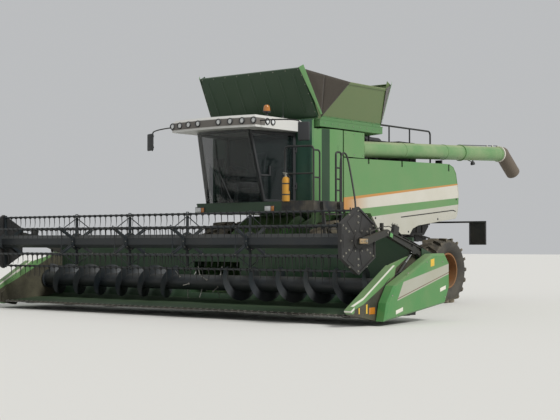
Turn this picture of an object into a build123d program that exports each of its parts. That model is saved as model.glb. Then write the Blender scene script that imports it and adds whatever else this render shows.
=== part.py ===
from build123d import *
import math
import os

# Millimetres. Y is measured from the reel's axis, positive to the rear, until the pieces are written.
# The machine drives towards -Y, its left side is +X, and the ground is z = 0.
centreY = 5661

# Clearances
runGap = 0.05
faceGap = 0.3
moveGap = 6

# Wheels and axles
frontAxleY = 3870
wheelbase = 3850
rearAxleY = frontAxleY + wheelbase
frontTyreR = 920
frontTyreW = 800
frontRimR = 430
frontTrack = 1480
rearTyreR = 740
rearTyreW = 600
rearRimR = 385
rearTrack = 1470
beadDepth = 30
rimWall = 14
rimLip = 22
discWall = 22
frontLugs = 20
rearLugs = 18
lugHeight = 48
lugWidth = 62
spindleR = 100
rearSpindleR = 70
hubReach = 45
finalDriveX = 650
hubBossX = 900
kingPinX = 960
kingPinR = 45

# Chassis and hull
railX = 480
railW = 80
railBottom = 1040
railTop = 1240
railFront = 3420
railRear = 8000
hitchY = 8640
hitchR = 19
hullHalf = 700
hullFront = 3840
hullShelf = 1985
hullTop = 2640
hullRear = 6900
shoeHalf = 440
shoeBottom = 600
hoodHalf = 760
hoodWall = 25
hoodRear = 8400
hoodBottom = 1560
boardY = 8450
boardOuter = 2275
boardWidth = 430
boardHeight = 510
boardTop = 1840

# Grain tank, its rim and its flaps
tankFront = 3140
tankRear = 5400
tankRight = 1320
tankLeft = 900
tankWall = 25
rimHalf = 1450
rimBottom = 3720
rimTop = 3870
flapWall = 20
endFlapLength = 1090
sideFlapLength = 800
endLean = 28.6
sideLean = 30
endHingeRise = 18
sideHingeRise = 60
finRoot = 40
finTip = 140
hingePinR = 8
canvasWall = 4
canvasReach = 600

# Skins
panelOuter = 1500
panelWall = 36
panelFront = 3900
panelTop = 3120
panelRise = 90
panelHingeZ = 3090
panelHingeY = (4800, 6100, 8100)
deckTop = 3080
deckWall = 50
deckEdge = 1420
cornerRear = 3860
cornerFrontX = 1330
wallFront = 3060
wallWall = 40

# Unloader
unloaderX = 1280
unloaderY = 4100
unloaderZ = 3330
unloaderR = 175
unloaderEnd = 10950
unloaderRise = 290
spoutBendY = 11110
spoutMouthY = 11700
spoutMouthZ = 3180
spoutR = 178
spoutWall = 14
unloaderBaseTop = 2900
baseR = 165
spigotR = 110

# Cab
cabFront = 2180
cabRear = 3030
cabBottom = 1990
cabSill = 2180
cabHeader = 3600
cabHalf = 755
cabTaper = 0.2
screenLean = 0.25
screenBow = 120
glassWall = 8
pillarSize = 60
roofHalf = 1100
roofFront = 1400
roofCorner = 1530
roofRear = 3054
roofBottom = 3610
roofTop = 3850
doorWall = 34
doorFrame = 45
doorLength = 800

# Platform, rails and ladder
platformOuter = 2090
railFrontY = 1940
railFrontX = 1500
railOuterY = 2110
platformTop = 2180
deckRailTop = 3990
platformWall = 190
tubeR = 20
railTopZ = 3225
railMidZ = 2700
ladderTopY = 2300
ladderWidth = 550
ladderBottom = 480
ladderSteps = 6

# Feeder house
feederPivotY = 3500
feederPivotZ = 1650
feederHalf = 650
feederWall = 40
feederEndR = 290
feederPinR = 50
feederFront = 2020
feederMouthBottom = 360
feederMouthTop = 1040

# Header
headerHalf = 4560
knifeY = 110
knifeZ = 165
augerY = 1250
augerZ = 600
augerTubeR = 150
augerFlightR = 330
augerPitch = 640
flightWall = 12
headerTop = 1450
beamBottom = 1120
sideWall = 40
shieldInner = headerHalf + 200
shieldDepth = 190
shieldOuter = shieldInner + shieldDepth

# Reel
reelZ = 1400
reelHalf = headerHalf - 60
barCircle = 500
barCount = 6
barReach = reelHalf - 30
barHeight = 36
barDepth = 26
collarR = 26
tinePitch = 150
tineLength = 230
tineWidth = 22
spiderWall = 14
spiderBays = 5
reelTubeR = 125
hexShieldR = 560
hexShieldDepth = 55
shaftR = 30

# Reel arms and their lift
armInner = headerHalf + 60
armOuter = armInner + 80
armPivotY = 1900
armPivotZ = 1150
armPinR = 25
armElbowY = 660
armElbowZ = 1540

# Lift cylinders, as base pin and rod eye
headerBaseY = 3700
headerBaseZ = 900
headerEyeY = 2350
headerEyeZ = 500
headerLiftX = 560
headerBarrelR = 55
headerRodR = 32
headerPinR = 25
headerBarrelShare = 0.68
reelBaseY = 900
reelBaseZ = 720
reelEyeY = 1500
reelEyeZ = 1210
reelBarrelR = 26
reelRodR = 14
reelPinR = 14
reelBarrelShare = 0.62
eyePlay = 8
eyeWall = 13


def box(x0, x1, y0, y1, z0, z1):
    centre = Pos((x0 + x1) / 2, (y0 + y1) / 2, (z0 + z1) / 2)
    return centre * Box(x1 - x0, y1 - y0, z1 - z0)


def prismX(points, x0, x1):
    face = make_face(Polyline(*[(x0, y, z) for y, z in points], close=True))
    return extrude(face, amount=x1 - x0, dir=(1, 0, 0))


def prismY(points, y0, y1):
    face = make_face(Polyline(*[(x, y0, z) for x, z in points], close=True))
    return extrude(face, amount=y1 - y0, dir=(0, 1, 0))


def prismZ(points, z0, z1):
    face = make_face(Polyline(*[(x, y, z0) for x, y in points], close=True))
    return extrude(face, amount=z1 - z0, dir=(0, 0, 1))


def rod(start, end, radius):
    a = Vector(*start)
    b = Vector(*end)
    place = Plane(origin=a, z_dir=(b - a).normalized())
    return place * Cylinder(radius, (b - a).length, align=(Align.CENTER, Align.CENTER, Align.MIN))


def discX(x0, x1, y, z, radius):
    return rod((x0, y, z), (x1, y, z), radius)


def discZ(x, y, z0, z1, radius):
    return rod((x, y, z0), (x, y, z1), radius)


def mirrored(shape):
    return mirror(shape, about=Plane.YZ)


def fuse(pieces):
    total = pieces[0]
    for piece in pieces[1:]:
        total = total + piece
    return total


def group(pieces):
    solids = []
    for piece in pieces:
        solids.extend(piece.solids())
    return Compound(children=solids)


def both(shape):
    return group([shape, mirrored(shape)])


# Wheels, modelled round the X axis at the origin

def lugs(radius, width, count):
    inner = radius - 2 * lugHeight
    skew = 0.30 * width
    pieces = []
    for side in (1, -1):
        near = -side * 0.02 * width
        far = side * 0.47 * width
        bar = [(near, 0), (far, -skew), (far, lugWidth - skew), (near, lugWidth * 0.8)]
        lug = prismZ(bar, inner, radius) & discX(-width, width, 0, 0, radius)
        offset = 0 if side == 1 else 180 / count
        for turn in range(count):
            pieces.append(Rot(turn * 360 / count + offset, 0, 0) * lug)
    return pieces


def tyre(radius, width, rimRadius, count):
    half = width / 2
    carcass = radius - lugHeight
    bead = 0.36 * width
    shoulder = 0.43 * width
    middle = (rimRadius + carcass) / 2
    start = (bead, 0, rimRadius)
    rise = (bead, 0, rimRadius + beadDepth)
    bulge = (half, 0, middle)
    crown = (shoulder, 0, carcass)
    outline = [Line(start, rise), ThreePointArc(rise, bulge, crown), Line(crown, (-shoulder, 0, carcass))]
    outline.append(ThreePointArc((-shoulder, 0, carcass), (-half, 0, middle),
                                 (-bead, 0, rimRadius + beadDepth)))
    outline.append(Line((-bead, 0, rimRadius + beadDepth), (-bead, 0, rimRadius)))
    outline.append(Line((-bead, 0, rimRadius), start))
    ring = revolve(make_face(Wire(outline)), axis=Axis.X, revolution_arc=360)
    return fuse([ring] + lugs(radius, width, count))


def rim(width, rimRadius, discX0, boreR):
    bead = 0.36 * width
    seat = rimRadius - faceGap
    lipR = rimRadius + rimLip
    edge = bead + faceGap + rimWall
    inner = seat - rimWall
    barrel = [(-edge, inner), (-edge, lipR), (-bead - faceGap, lipR), (-bead - faceGap, seat),
              (bead + faceGap, seat)]
    barrel += [(bead + faceGap, lipR), (edge, lipR), (edge, inner)]
    dish = [(discX0, boreR), (discX0, 0.55 * rimRadius), (discX0 + 90, 0.80 * rimRadius),
            (discX0 + 90, inner + 2)]
    dish += [(discX0 + 90 + discWall, inner + 2), (discX0 + 90 + discWall, 0.78 * rimRadius)]
    dish += [(discX0 + discWall, 0.53 * rimRadius), (discX0 + discWall, boreR)]
    pieces = []
    for points in (barrel, dish):
        face = make_face(Polyline(*[(x, 0, r) for x, r in points], close=True))
        pieces.append(revolve(face, axis=Axis.X, revolution_arc=360))
    return fuse(pieces)


# The disc stands inboard of the wheel's middle, by these shares of the tyre's width
frontDiscX = -0.20 * frontTyreW
rearDiscX = -0.20 * rearTyreW


def frontAxle():
    beam = box(-hullHalf, hullHalf, frontAxleY - 120, frontAxleY + 120, frontTyreR - 110, railBottom)
    hubFace = frontTrack + frontDiscX - faceGap
    ends = []
    for side in (1, -1):
        ends.append(discX(side * finalDriveX, side * hubBossX, frontAxleY, frontTyreR, 270))
        ends.append(discX(side * hubBossX, side * hubFace, frontAxleY, frontTyreR, 170))
        ends.append(discX(side * hubFace, side * (hubFace + hubReach), frontAxleY, frontTyreR, spindleR))
    brackets = []
    for side in (1, -1):
        for k in (-1, 1):
            x = side * headerLiftX + k * (headerBarrelR + moveGap + 8)
            brackets.append(box(x - 8, x + 8, headerBaseY - 60, frontAxleY, headerBaseZ - 60,
                                headerBaseZ + 60))
        reach = headerBarrelR + moveGap
        brackets.append(discX(side * headerLiftX - reach, side * headerLiftX + reach, headerBaseY,
                              headerBaseZ, headerPinR))
    return fuse([beam] + ends + brackets)


def rearAxle():
    beam = box(-kingPinX + 50, kingPinX - 50, rearAxleY - 80, rearAxleY + 80, rearTyreR - 70,
               rearTyreR + 70)
    pieces = [beam, box(-250, 250, rearAxleY - 140, rearAxleY + 140, rearTyreR + 60, railBottom)]
    pieces.append(box(-railX - railW, railX + railW, rearAxleY - 140, rearAxleY + 140, railBottom - 60,
                      railBottom))
    for side in (1, -1):
        pieces.append(discZ(side * kingPinX, rearAxleY, rearTyreR - 90, rearTyreR + 90, 95))
    body = fuse(pieces)
    for side in (1, -1):
        body = body - discZ(side * kingPinX, rearAxleY, rearTyreR - 100, rearTyreR + 100, kingPinR + runGap)
    return body


def knuckle():
    top = rearTyreR + 90 + faceGap
    bottom = rearTyreR - 90 - faceGap
    hubFace = rearTrack + rearDiscX - faceGap
    outer = kingPinX + 150
    pieces = [discZ(kingPinX, rearAxleY, bottom - 40, top + 40, kingPinR)]
    for z0, z1 in ((top, top + 40), (bottom - 40, bottom)):
        pieces.append(box(kingPinX - 70, outer, rearAxleY - 80, rearAxleY + 80, z0, z1))
    pieces.append(box(outer - 45, outer, rearAxleY - 80, rearAxleY + 80, bottom - 40, top + 40))
    pieces.append(discX(outer - 10, hubFace, rearAxleY, rearTyreR, 120))
    pieces.append(discX(hubFace - 5, hubFace + hubReach, rearAxleY, rearTyreR, rearSpindleR))
    return fuse(pieces)


def chassisFrame():
    pieces = []
    for side in (1, -1):
        x0, x1 = sorted((side * railX, side * (railX + railW)))
        pieces.append(box(x0, x1, railFront, railRear, railBottom, railTop))
    for y in (4150, 5600, 6800, railRear - 100):
        pieces.append(box(-railX, railX, y, y + 100, railBottom + 20, railTop - 20))
    hitch = box(-150, 150, railRear, railRear + 120, railBottom + 20, railTop - 20)
    jaw = box(-60, 60, railRear + 60, hitchY + 70, railBottom + 60, railTop - 60)
    bore = discZ(0, hitchY, railBottom, railTop, hitchR)
    return fuse(pieces + [hitch, jaw]) - bore


def cleaningShoe():
    outline = [(4300, railTop - 60), (4500, shoeBottom), (6350, shoeBottom), (6790, railTop - 60)]
    outline[0] = (4260, railTop - 60)
    body = prismX(outline, -shoeHalf, shoeHalf)
    for y in (5600,):
        body = body - box(-railX, railX, y - 5, y + 105, railBottom - 5, railTop)
    ears = [box(min(s * (shoeHalf - 10), s * railX), max(s * (shoeHalf - 10), s * railX), y, y + 60, 1080,
                1140)
            for s in (1, -1) for y in (4700, 6400)]
    return fuse([body] + ears)


def thresherBody():
    outline = [(hullFront, railTop), (hullFront, hullShelf), (tankFront, hullShelf), (tankFront, hullTop)]
    outline += [(hullRear, hullTop), (hullRear, railTop)]
    body = prismX(outline, -hullHalf, hullHalf)
    ears = []
    for side in (1, -1):
        x0, x1 = sorted((side * (feederHalf + moveGap), side * hullHalf))
        ear = [(hullFront + 5, feederPivotZ - 160), (feederPivotY - 90, feederPivotZ - 90)]
        ear += [(feederPivotY - 90, feederPivotZ + 90), (hullFront + 5, feederPivotZ + 250)]
        ears.append(prismX(ear, x0, x1))
        pin = side * (feederHalf - feederWall)
        ears.append(discX(pin, side * (hullHalf - 5), feederPivotY, feederPivotZ, feederPinR))
    return fuse([body] + ears)


def strawHood():
    outer = [(hullRear, hoodBottom), (hullRear, hullTop), (8150, hullTop), (hoodRear, 2250),
             (hoodRear, 1760), (8200, hoodBottom)]
    inner = [(hullRear - 10, hoodBottom - 10), (hullRear - 10, hullTop - hoodWall),
             (8130, hullTop - hoodWall)]
    inner += [(hoodRear - hoodWall, 2240), (hoodRear - hoodWall, 1990), (hoodRear + 10, 1990),
              (hoodRear + 10, hoodBottom - 10)]
    shell = prismX(outer, -hoodHalf, hoodHalf) - prismX(inner, -hoodHalf + hoodWall, hoodHalf - hoodWall)
    return shell


def strawSpreader():
    slope = [(7900, hoodBottom + 40), (8520, 1500), (8520, 1480), (7900, hoodBottom + 10)]
    board = prismX(slope, -hoodHalf + hoodWall + faceGap, hoodHalf - hoodWall - faceGap)
    vanes = []
    for k in range(7):
        x = -630 + k * 210
        vanes.append(prismX([(7950, hoodBottom + 20), (8500, 1490), (8500, 1400), (8050, 1420)], x - 6,
                            x + 6))
    return fuse([board] + vanes)


def grainTank():
    outer = [(-900, hullTop), (700, hullTop), (tankLeft, 2840), (tankLeft, 3690), (rimHalf, rimBottom),
             (rimHalf, rimTop)]
    outer += [(-rimHalf, rimTop), (-rimHalf, rimBottom), (-tankRight, 3690), (-tankRight, 3000)]
    w = tankWall
    inner = [(-890, hullTop + w), (690, hullTop + w), (tankLeft - w, 2850), (tankLeft - w, 3712),
             (rimHalf - w, rimBottom + w)]
    inner += [(rimHalf - w, rimTop + 10), (-rimHalf + w, rimTop + 10), (-rimHalf + w, rimBottom + w)]
    inner += [(-tankRight + w, 3700), (-tankRight + w, 3012)]
    return prismY(outer, tankFront, tankRear) - prismY(inner, tankFront + w, tankRear - w)


def tankAuger():
    trough = box(-120, 120, tankFront + tankWall, tankRear - tankWall, hullTop + tankWall,
                 hullTop + tankWall + 90)
    shaft = rod((0, tankFront + tankWall, 2900), (0, tankRear - tankWall, 2900), 60)
    return group([trough, shaft])


def flapHinges():
    pins = []
    for side in (1, -1):
        x = side * (rimHalf - 15)
        z = rimTop + sideHingeRise
        for y in (3450, 4270, 5050):
            pins.append(box(x - 10, x + 10, y - 20, y + 20, rimTop, z + 4))
            pins.append(rod((x, y - 60, z), (x, y + 60, z), hingePinR))
    for y in (tankFront + 15, tankRear - 15):
        z = rimTop + endHingeRise
        for x in (-1000, 0, 1000):
            pins.append(box(x - 20, x + 20, y - 10, y + 10, rimTop, z + 4))
            pins.append(rod((x - 60, y, z), (x + 60, y, z), hingePinR))
    return fuse(pins)


def endFlap(front):
    # Modelled standing straight up over its hinge line, then leant outwards
    length = endFlapLength
    low = 1395
    high = 1330
    sheet = prismY([(-low, 14), (low, 14), (high, length), (-high, length)], -flapWall / 2, flapWall / 2)
    edges = []
    for side in (1, -1):
        fin = prismX([(0, 30), (finRoot, 30), (finTip, length), (0, length)], -7, 7)
        slope = math.degrees(math.atan2(low - high, length))
        edges.append(Pos(side * (low - 8), 0, 0) * Rot(0, -side * slope, 0) * fin)
    edges.append(prismY([(-high, length - 14), (high, length - 14), (high, length), (-high, length)], 0,
                        45))
    for x in (-1000, 0, 1000):
        for k in (-1, 1):
            edges.append(box(x + k * 42 - 14, x + k * 42 + 14, -10, 10, 0, 30))
            edges.append(discX(x + k * 42 - 14, x + k * 42 + 14, 0, 0, 14))
    flap = fuse([sheet] + edges)
    for x in (-1000, 0, 1000):
        flap = flap - rod((x - 70, 0, 0), (x + 70, 0, 0), hingePinR + runGap)
    if front:
        return Pos(0, tankFront + 15, rimTop + endHingeRise) * Rot(endLean, 0, 0) * flap
    turned = Rot(0, 0, 180) * flap
    return Pos(0, tankRear - 15, rimTop + endHingeRise) * Rot(-endLean, 0, 0) * turned


def sideFlap():
    # Modelled standing straight up over its hinge line, then leant outwards
    length = sideFlapLength
    middle = (tankFront + tankRear) / 2
    sheet = prismX([(-1075, 14), (1075, 14), (675, length), (-675, length)], -flapWall / 2, flapWall / 2)
    edges = [prismX([(-675, length - 40), (675, length - 40), (675, length), (-675, length)], -22, 22)]
    for y in (3450, 4270, 5050):
        for k in (-1, 1):
            edges.append(box(-14, 14, y - middle + k * 42 - 14, y - middle + k * 42 + 14, -14, 30))
    flap = fuse([sheet] + edges)
    for y in (3450, 4270, 5050):
        flap = flap - rod((0, y - middle - 70, 0), (0, y - middle + 70, 0), hingePinR + runGap)
    return Pos(rimHalf - 15, middle, rimTop + sideHingeRise) * Rot(0, sideLean, 0) * flap


def tankCanvas():
    # Corner gussets between the end flaps and the side flap, in the plane that rests on both
    sheets = []
    side = sideFlap()
    for ySide in (-1, 1):
        end = endFlap(ySide < 0)
        a = max(end.vertices(), key=lambda v: v.X + v.Z + ySide * v.Y)
        b = max(side.vertices(), key=lambda v: 2 * v.X + v.Z + ySide * v.Y)
        a, b = Vector(a.X, a.Y, a.Z), Vector(b.X, b.Y, b.Z)
        line = (b - a).normalized()
        low = Vector(rimHalf, (tankFront, tankRear)[ySide > 0], rimTop)
        start = (low - a - line * (low - a).dot(line)).normalized()
        turn = line.cross(start)
        out = 1 if turn.X > 0 else -1
        best = None
        for v in end.vertices() + side.vertices():
            w = Vector(v.X, v.Y, v.Z) - a
            height, depth = w.dot(start), w.dot(turn) * out
            if height > canvasReach and (best is None or depth / height > best[0]):
                best = (depth / height, w)
        c = a + best[1]
        normal = (b - a).cross(c - a).normalized()
        normal = normal if normal.X > 0 else normal * -1
        shift = Pos(normal.X * faceGap, normal.Y * faceGap, normal.Z * faceGap)
        face = make_face(Polyline(tuple(a), tuple(b), tuple(c), close=True))
        sheet = extrude(shift * face, amount=canvasWall, dir=normal)
        sheets.append(sheet)
        sheets.append(mirrored(sheet))
    return group(sheets)


def frontWall():
    back = wallFront + wallWall
    wall = box(-cornerFrontX, cornerFrontX, wallFront, back, hullShelf, rimTop)
    pieces = [wall, box(-600, 600, back - 5, tankFront, hullShelf + 20, hullTop - 40)]
    for side in (1, -1):
        x = side * (cornerFrontX - 30)
        pieces.append(box(x - 30, x + 30, wallFront - 25, wallFront + 5, cabSill, rimTop - 30))
        x0, x1 = sorted((side * (cornerFrontX - 40), side * cornerFrontX))
        pieces.append(box(x0, x1, back - 5, tankFront, hullShelf, rimBottom - 40))
    return fuse(pieces)


def cornerPanel():
    # A quarter of an ellipse in plan, from the front wall round to the side panel
    front = wallFront + wallWall
    inner = 30
    z = hullShelf
    outerArc = ThreePointArc((cornerFrontX, front, z), (1442, 3320, z), (panelOuter, cornerRear, z))
    innerArc = ThreePointArc((panelOuter - inner, cornerRear, z), (1412, 3336, z),
                             (cornerFrontX, tankFront, z))
    wires = Wire([outerArc, Line(outerArc @ 1, innerArc @ 0), innerArc, Line(innerArc @ 1, outerArc @ 0)])
    skin = extrude(make_face(wires), amount=rimBottom - 40 - hullShelf, dir=(0, 0, 1))
    foot = box(hullHalf, cornerFrontX + 12, tankFront + 5, tankFront + 60, hullShelf, hullShelf + 60)
    return fuse([skin, foot])


def sidePanel():
    outline = [(panelFront, 2000), (4850, 2000), (5250, 1570), (6399, 1563), (6520, 1690), (6744, 1764),
               (8400, 1948), (8470, 2032), (8525, 2250)]
    outline += [(8540, 2560), (8424, 3010), (8300, 3150), (8103, panelTop + panelRise),
                (panelFront, panelTop)]
    x0 = panelOuter - panelWall
    body = prismX(outline, x0, panelOuter)
    groove = [(6050, 1950), (8300, 2150), (8420, 2120), (8420, 2100), (8300, 2120), (6050, 1920)]
    body = body - prismX(groove, panelOuter - 10, panelOuter + 1)
    mid = panelOuter - panelWall / 2
    for y in panelHingeY:
        body = body - box(x0 - 1, panelOuter + 1, y - 30, y + 30, panelHingeZ - 50,
                          panelTop + panelRise + 1)
        body = body - rod((mid, y - 80, panelHingeZ), (mid, y + 80, panelHingeZ), hingePinR + runGap)
    return body


def engineDeck():
    plate = box(-deckEdge, deckEdge, tankRear, 8440, deckTop - deckWall, deckTop)
    pieces = [plate]
    for side in (1, -1):
        x0, x1 = sorted((side * (hullHalf - 60), side * hullHalf))
        pieces.append(box(x0, x1, tankRear, 8100, hullTop, deckTop - deckWall + 5))
        x0, x1 = sorted((side * (deckEdge - 50), side * deckEdge))
        pieces.append(box(x0, x1, 4700, tankRear + 5, deckTop - deckWall, deckTop - 10))
        mid = side * (panelOuter - panelWall / 2)
        for y in panelHingeY:
            x0, x1 = sorted((side * (deckEdge - 20), mid + side * 6))
            pieces.append(box(x0, x1, y - 12, y + 12, deckTop - 30, panelHingeZ + 12))
            pieces.append(rod((mid, y - 70, panelHingeZ), (mid, y + 70, panelHingeZ), hingePinR))
    for x0, x1 in ((tankLeft, deckEdge), (-deckEdge, -tankRight)):
        pieces.append(box(x0, x1, 4700, 4760, deckTop - deckWall, deckTop - 20))
    cradle = box(unloaderX - 80, unloaderX + 80, 8000, 8050, deckTop - 5, 3300)
    pieces.append(cradle)
    return fuse(pieces)


def rearSkin():
    plate = box(-deckEdge, deckEdge, 8440 - 30, 8440, hullTop - 10, deckTop - deckWall)
    slats = [box(-1100, 1100, 8440 - 5, 8440 + 14, z, z + 18) for z in range(2700, 3000, 50)]
    return fuse([plate] + slats)


def pipe(points, radius, bend):
    path = FilletPolyline(*points, radius=bend)
    section = Plane(origin=path @ 0, z_dir=path % 0) * Circle(radius)
    return sweep(section, path=path)


def deckRails():
    x = 1030
    y0 = 5500
    y1 = 8050
    loop = [(x, y0, deckTop), (x, y0, deckRailTop), (x, y1, deckRailTop), (x, y1, deckTop)]
    posts = [discZ(x, y, deckTop, deckRailTop - tubeR / 2, tubeR - 3) for y in (6300, 7150)]
    bar = rod((x, y0, deckRailTop - 370), (x, y1, deckRailTop - 370), tubeR - 4)
    return both(fuse([pipe(loop, tubeR, 90), bar] + posts))


def engine():
    block = box(-600, 500, 5700, 6700, deckTop, 3620)
    cover = box(-450, 350, 5800, 6600, 3600, 3760)
    return fuse([block, cover])


def coolingBox():
    case = box(-950, 950, 6850, 7550, deckTop, 3680)
    screen = discX(-1010, -945, 7200, 3400, 260)
    slats = [box(-900, 900, 7545, 7565, z, z + 20) for z in range(3140, 3640, 60)]
    return fuse([case, screen] + slats)


def airCleaner():
    can = rod((700, 5650, 3600), (700, 6350, 3600), 150)
    feet = [box(640, 760, y, y + 60, deckTop, 3500) for y in (5750, 6200)]
    stack = discZ(700, 5900, 3700, 3950, 70)
    return fuse([can, stack] + feet)


def exhaust():
    silencer = rod((-750, 5750, 3560), (-750, 6550, 3560), 120)
    feet = [box(-800, -700, y, y + 60, deckTop, 3480) for y in (5850, 6400)]
    stack = discZ(-750, 6350, 3600, 4080, 55)
    return fuse([silencer, stack] + feet)


def unloaderBase():
    shelf = box(tankLeft - 110, 1400, 3900, 4320, 2700, 2760)
    socket = discZ(unloaderX, unloaderY, 2750, unloaderBaseTop, baseR)
    spigot = discZ(unloaderX, unloaderY, unloaderBaseTop - 5, unloaderBaseTop + 120, spigotR)
    return fuse([shelf, socket, spigot])


def unloaderAxis(y):
    return unloaderZ + unloaderRise * (y - unloaderY) / (unloaderEnd - unloaderY)


def unloaderElbow():
    post = discZ(unloaderX, unloaderY, unloaderBaseTop + faceGap, unloaderZ, unloaderR - 25)
    ball = Pos(unloaderX, unloaderY, unloaderZ) * Sphere(unloaderR - 6)
    stub = rod((unloaderX, unloaderY, unloaderZ), (unloaderX, 4500, unloaderAxis(4500)), unloaderR - 10)
    collar = rod((unloaderX, 4450, unloaderAxis(4450)), (unloaderX, 4500, unloaderAxis(4500)),
                 unloaderR + 25)
    bore = discZ(unloaderX, unloaderY, unloaderBaseTop - 10, unloaderBaseTop + 125, spigotR + runGap)
    return fuse([post, ball, stub, collar]) - bore


def unloaderCover():
    # A plate on two brackets that stand off the elbow
    plate = box(panelOuter - 20, panelOuter, 3900, 4640, 3150, 3680)
    brackets = [box(unloaderX + 120, panelOuter - 15, y, y + 30, 3240, 3420) for y in (4060, 4300)]
    return fuse([plate] + brackets) - unloaderElbow()


def unloaderTube():
    start = (unloaderX, 4500, unloaderAxis(4500))
    end = (unloaderX, unloaderEnd, unloaderAxis(unloaderEnd))
    tube = rod(start, end, unloaderR)
    flange0 = rod((unloaderX, 8980, unloaderAxis(8980)), (unloaderX, 9010, unloaderAxis(9010)),
                  unloaderR + 22)
    bore = rod((unloaderX, 9700, unloaderAxis(9700)), (unloaderX, unloaderEnd + 5,
                                                       unloaderAxis(unloaderEnd + 5)), unloaderR - 12)
    return fuse([tube, flange0]) - bore


def spoutForm(radius, back, ahead):
    # A short straight, a round bend and the part that points down and back
    bend = (unloaderX, spoutBendY, unloaderAxis(spoutBendY))
    dy, dz = spoutMouthY - spoutBendY, spoutMouthZ - bend[2]
    length = math.hypot(dy, dz)
    mouth = (unloaderX, spoutMouthY + ahead * dy / length, spoutMouthZ + ahead * dz / length)
    start = (unloaderX, unloaderEnd - back, unloaderAxis(unloaderEnd - back))
    return fuse([rod(start, bend, radius), Pos(*bend) * Sphere(radius + 3), rod(bend, mouth, radius)])


def unloaderSpout():
    collar0 = (unloaderX, unloaderEnd - 40, unloaderAxis(unloaderEnd - 40))
    collar1 = (unloaderX, unloaderEnd + 30, unloaderAxis(unloaderEnd + 30))
    body = fuse([spoutForm(spoutR, -faceGap, 0), rod(collar0, collar1, unloaderR + 22)])
    body = body - spoutForm(spoutR - spoutWall, 10, 20)
    near = unloaderEnd - 60
    return body - rod((unloaderX, near, unloaderAxis(near)), (unloaderX, unloaderEnd,
                                                              unloaderAxis(unloaderEnd)), unloaderR + faceGap)


# Cab

def sidePlane():
    along = Vector(cabTaper, 1, 0).normalized()
    return Plane(origin=(cabHalf, cabFront, 0), x_dir=along, z_dir=(along.Y, -along.X, 0))


def sideSheet(points, n0, n1):
    face = make_face(Polyline(*points, close=True))
    return sidePlane() * extrude(Pos(0, 0, n0) * face, amount=n1 - n0)


sideScale = math.sqrt(1 + cabTaper ** 2)
cabSide = (cabRear - cabFront) * sideScale


def leanAt(z):
    return -screenLean * (z - cabSill) * sideScale


def cabFloor():
    floor = box(-950, 950, cabFront, wallFront, cabBottom, cabSill)
    band = box(-950, 1360, cabFront - 60, cabFront, cabBottom - 30, cabSill)
    return fuse([floor, band])


def cabFrame():
    side = []
    zTop = cabHeader
    front = [(leanAt(cabSill), cabSill), (leanAt(zTop), zTop), (leanAt(zTop) + 70, zTop),
             (leanAt(cabSill) + 70, cabSill)]
    rear = [(cabSide - 90, cabSill), (cabSide - 90, zTop), (cabSide, zTop), (cabSide, cabSill)]
    head = [(leanAt(zTop - 60), zTop - 60), (leanAt(zTop), zTop), (cabSide, zTop), (cabSide, zTop - 60)]
    for outline in (front, rear, head):
        side.append(sideSheet(outline, -pillarSize, -moveGap))
    left = fuse(side)
    hinge = []
    for z in (2500, 3250):
        hinge.append(sideSheet([(cabSide - 30, z), (cabSide - 30, z + 40), (cabSide + 12, z + 40),
                                (cabSide + 12, z)], -pillarSize, 24))
        hinge.append(sidePlane() * (Pos(cabSide, z - 50, 14) * Rot(-90, 0, 0) * Cylinder(hingePinR, 140,
                                                                                         align=(Align.CENTER, Align.CENTER, Align.MIN))))
    backX = cabHalf + (cabRear - cabFront) * cabTaper - 15
    wall = box(-backX, backX, cabRear - 40, cabRear + 10, cabSill, 2900)
    rails = [box(-backX, backX, cabRear - 40, cabRear + 10, zTop - 60, zTop)]
    frontTop = cabFront - screenLean * (zTop - cabSill)
    halfTop = cabHalf + cabTaper * (frontTop - cabFront)
    rails.append(box(-halfTop + 20, halfTop - 20, frontTop + 6, frontTop + 60, zTop - 40, zTop))
    return fuse([left, mirrored(left), wall] + rails + hinge)


def screenRing(half, y, bow, z):
    outer = ThreePointArc((-half, y, z), (0, y - bow, z), (half, y, z))
    inner = ThreePointArc((half, y + glassWall, z), (0, y - bow + glassWall, z), (-half, y + glassWall, z))
    return make_face(Wire([outer, Line(outer @ 1, inner @ 0), inner, Line(inner @ 1, outer @ 0)]))


def windscreen():
    rise = cabHeader - cabSill
    top = cabFront - screenLean * rise
    low = screenRing(cabHalf - 8, cabFront - glassWall - 4, screenBow, cabSill)
    high = screenRing(cabHalf - 8 - cabTaper * screenLean * rise, top - glassWall - 4, screenBow, cabHeader)
    return loft([low, high], ruled=True)


def rightWindow():
    points = [(leanAt(cabSill) + 71, cabSill), (leanAt(cabHeader - 61) + 71, cabHeader - 61)]
    points += [(cabSide - 91, cabHeader - 61), (cabSide - 91, cabSill)]
    return mirrored(sideSheet(points, -40, -40 + glassWall))


def rearWindow():
    backX = cabHalf + (cabRear - cabFront) * cabTaper - 80
    return box(-backX, backX, cabRear - 20, cabRear - 20 + glassWall, 2900, cabHeader - 60)


def doorOutline(inset):
    low = cabSill + 12 + inset
    high = cabHeader - 20 - inset
    return [(leanAt(low) + 8 + inset, low), (leanAt(high) + 8 + inset, high),
            (doorLength + 10 - inset, high), (doorLength + 10 - inset, low)]


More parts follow.
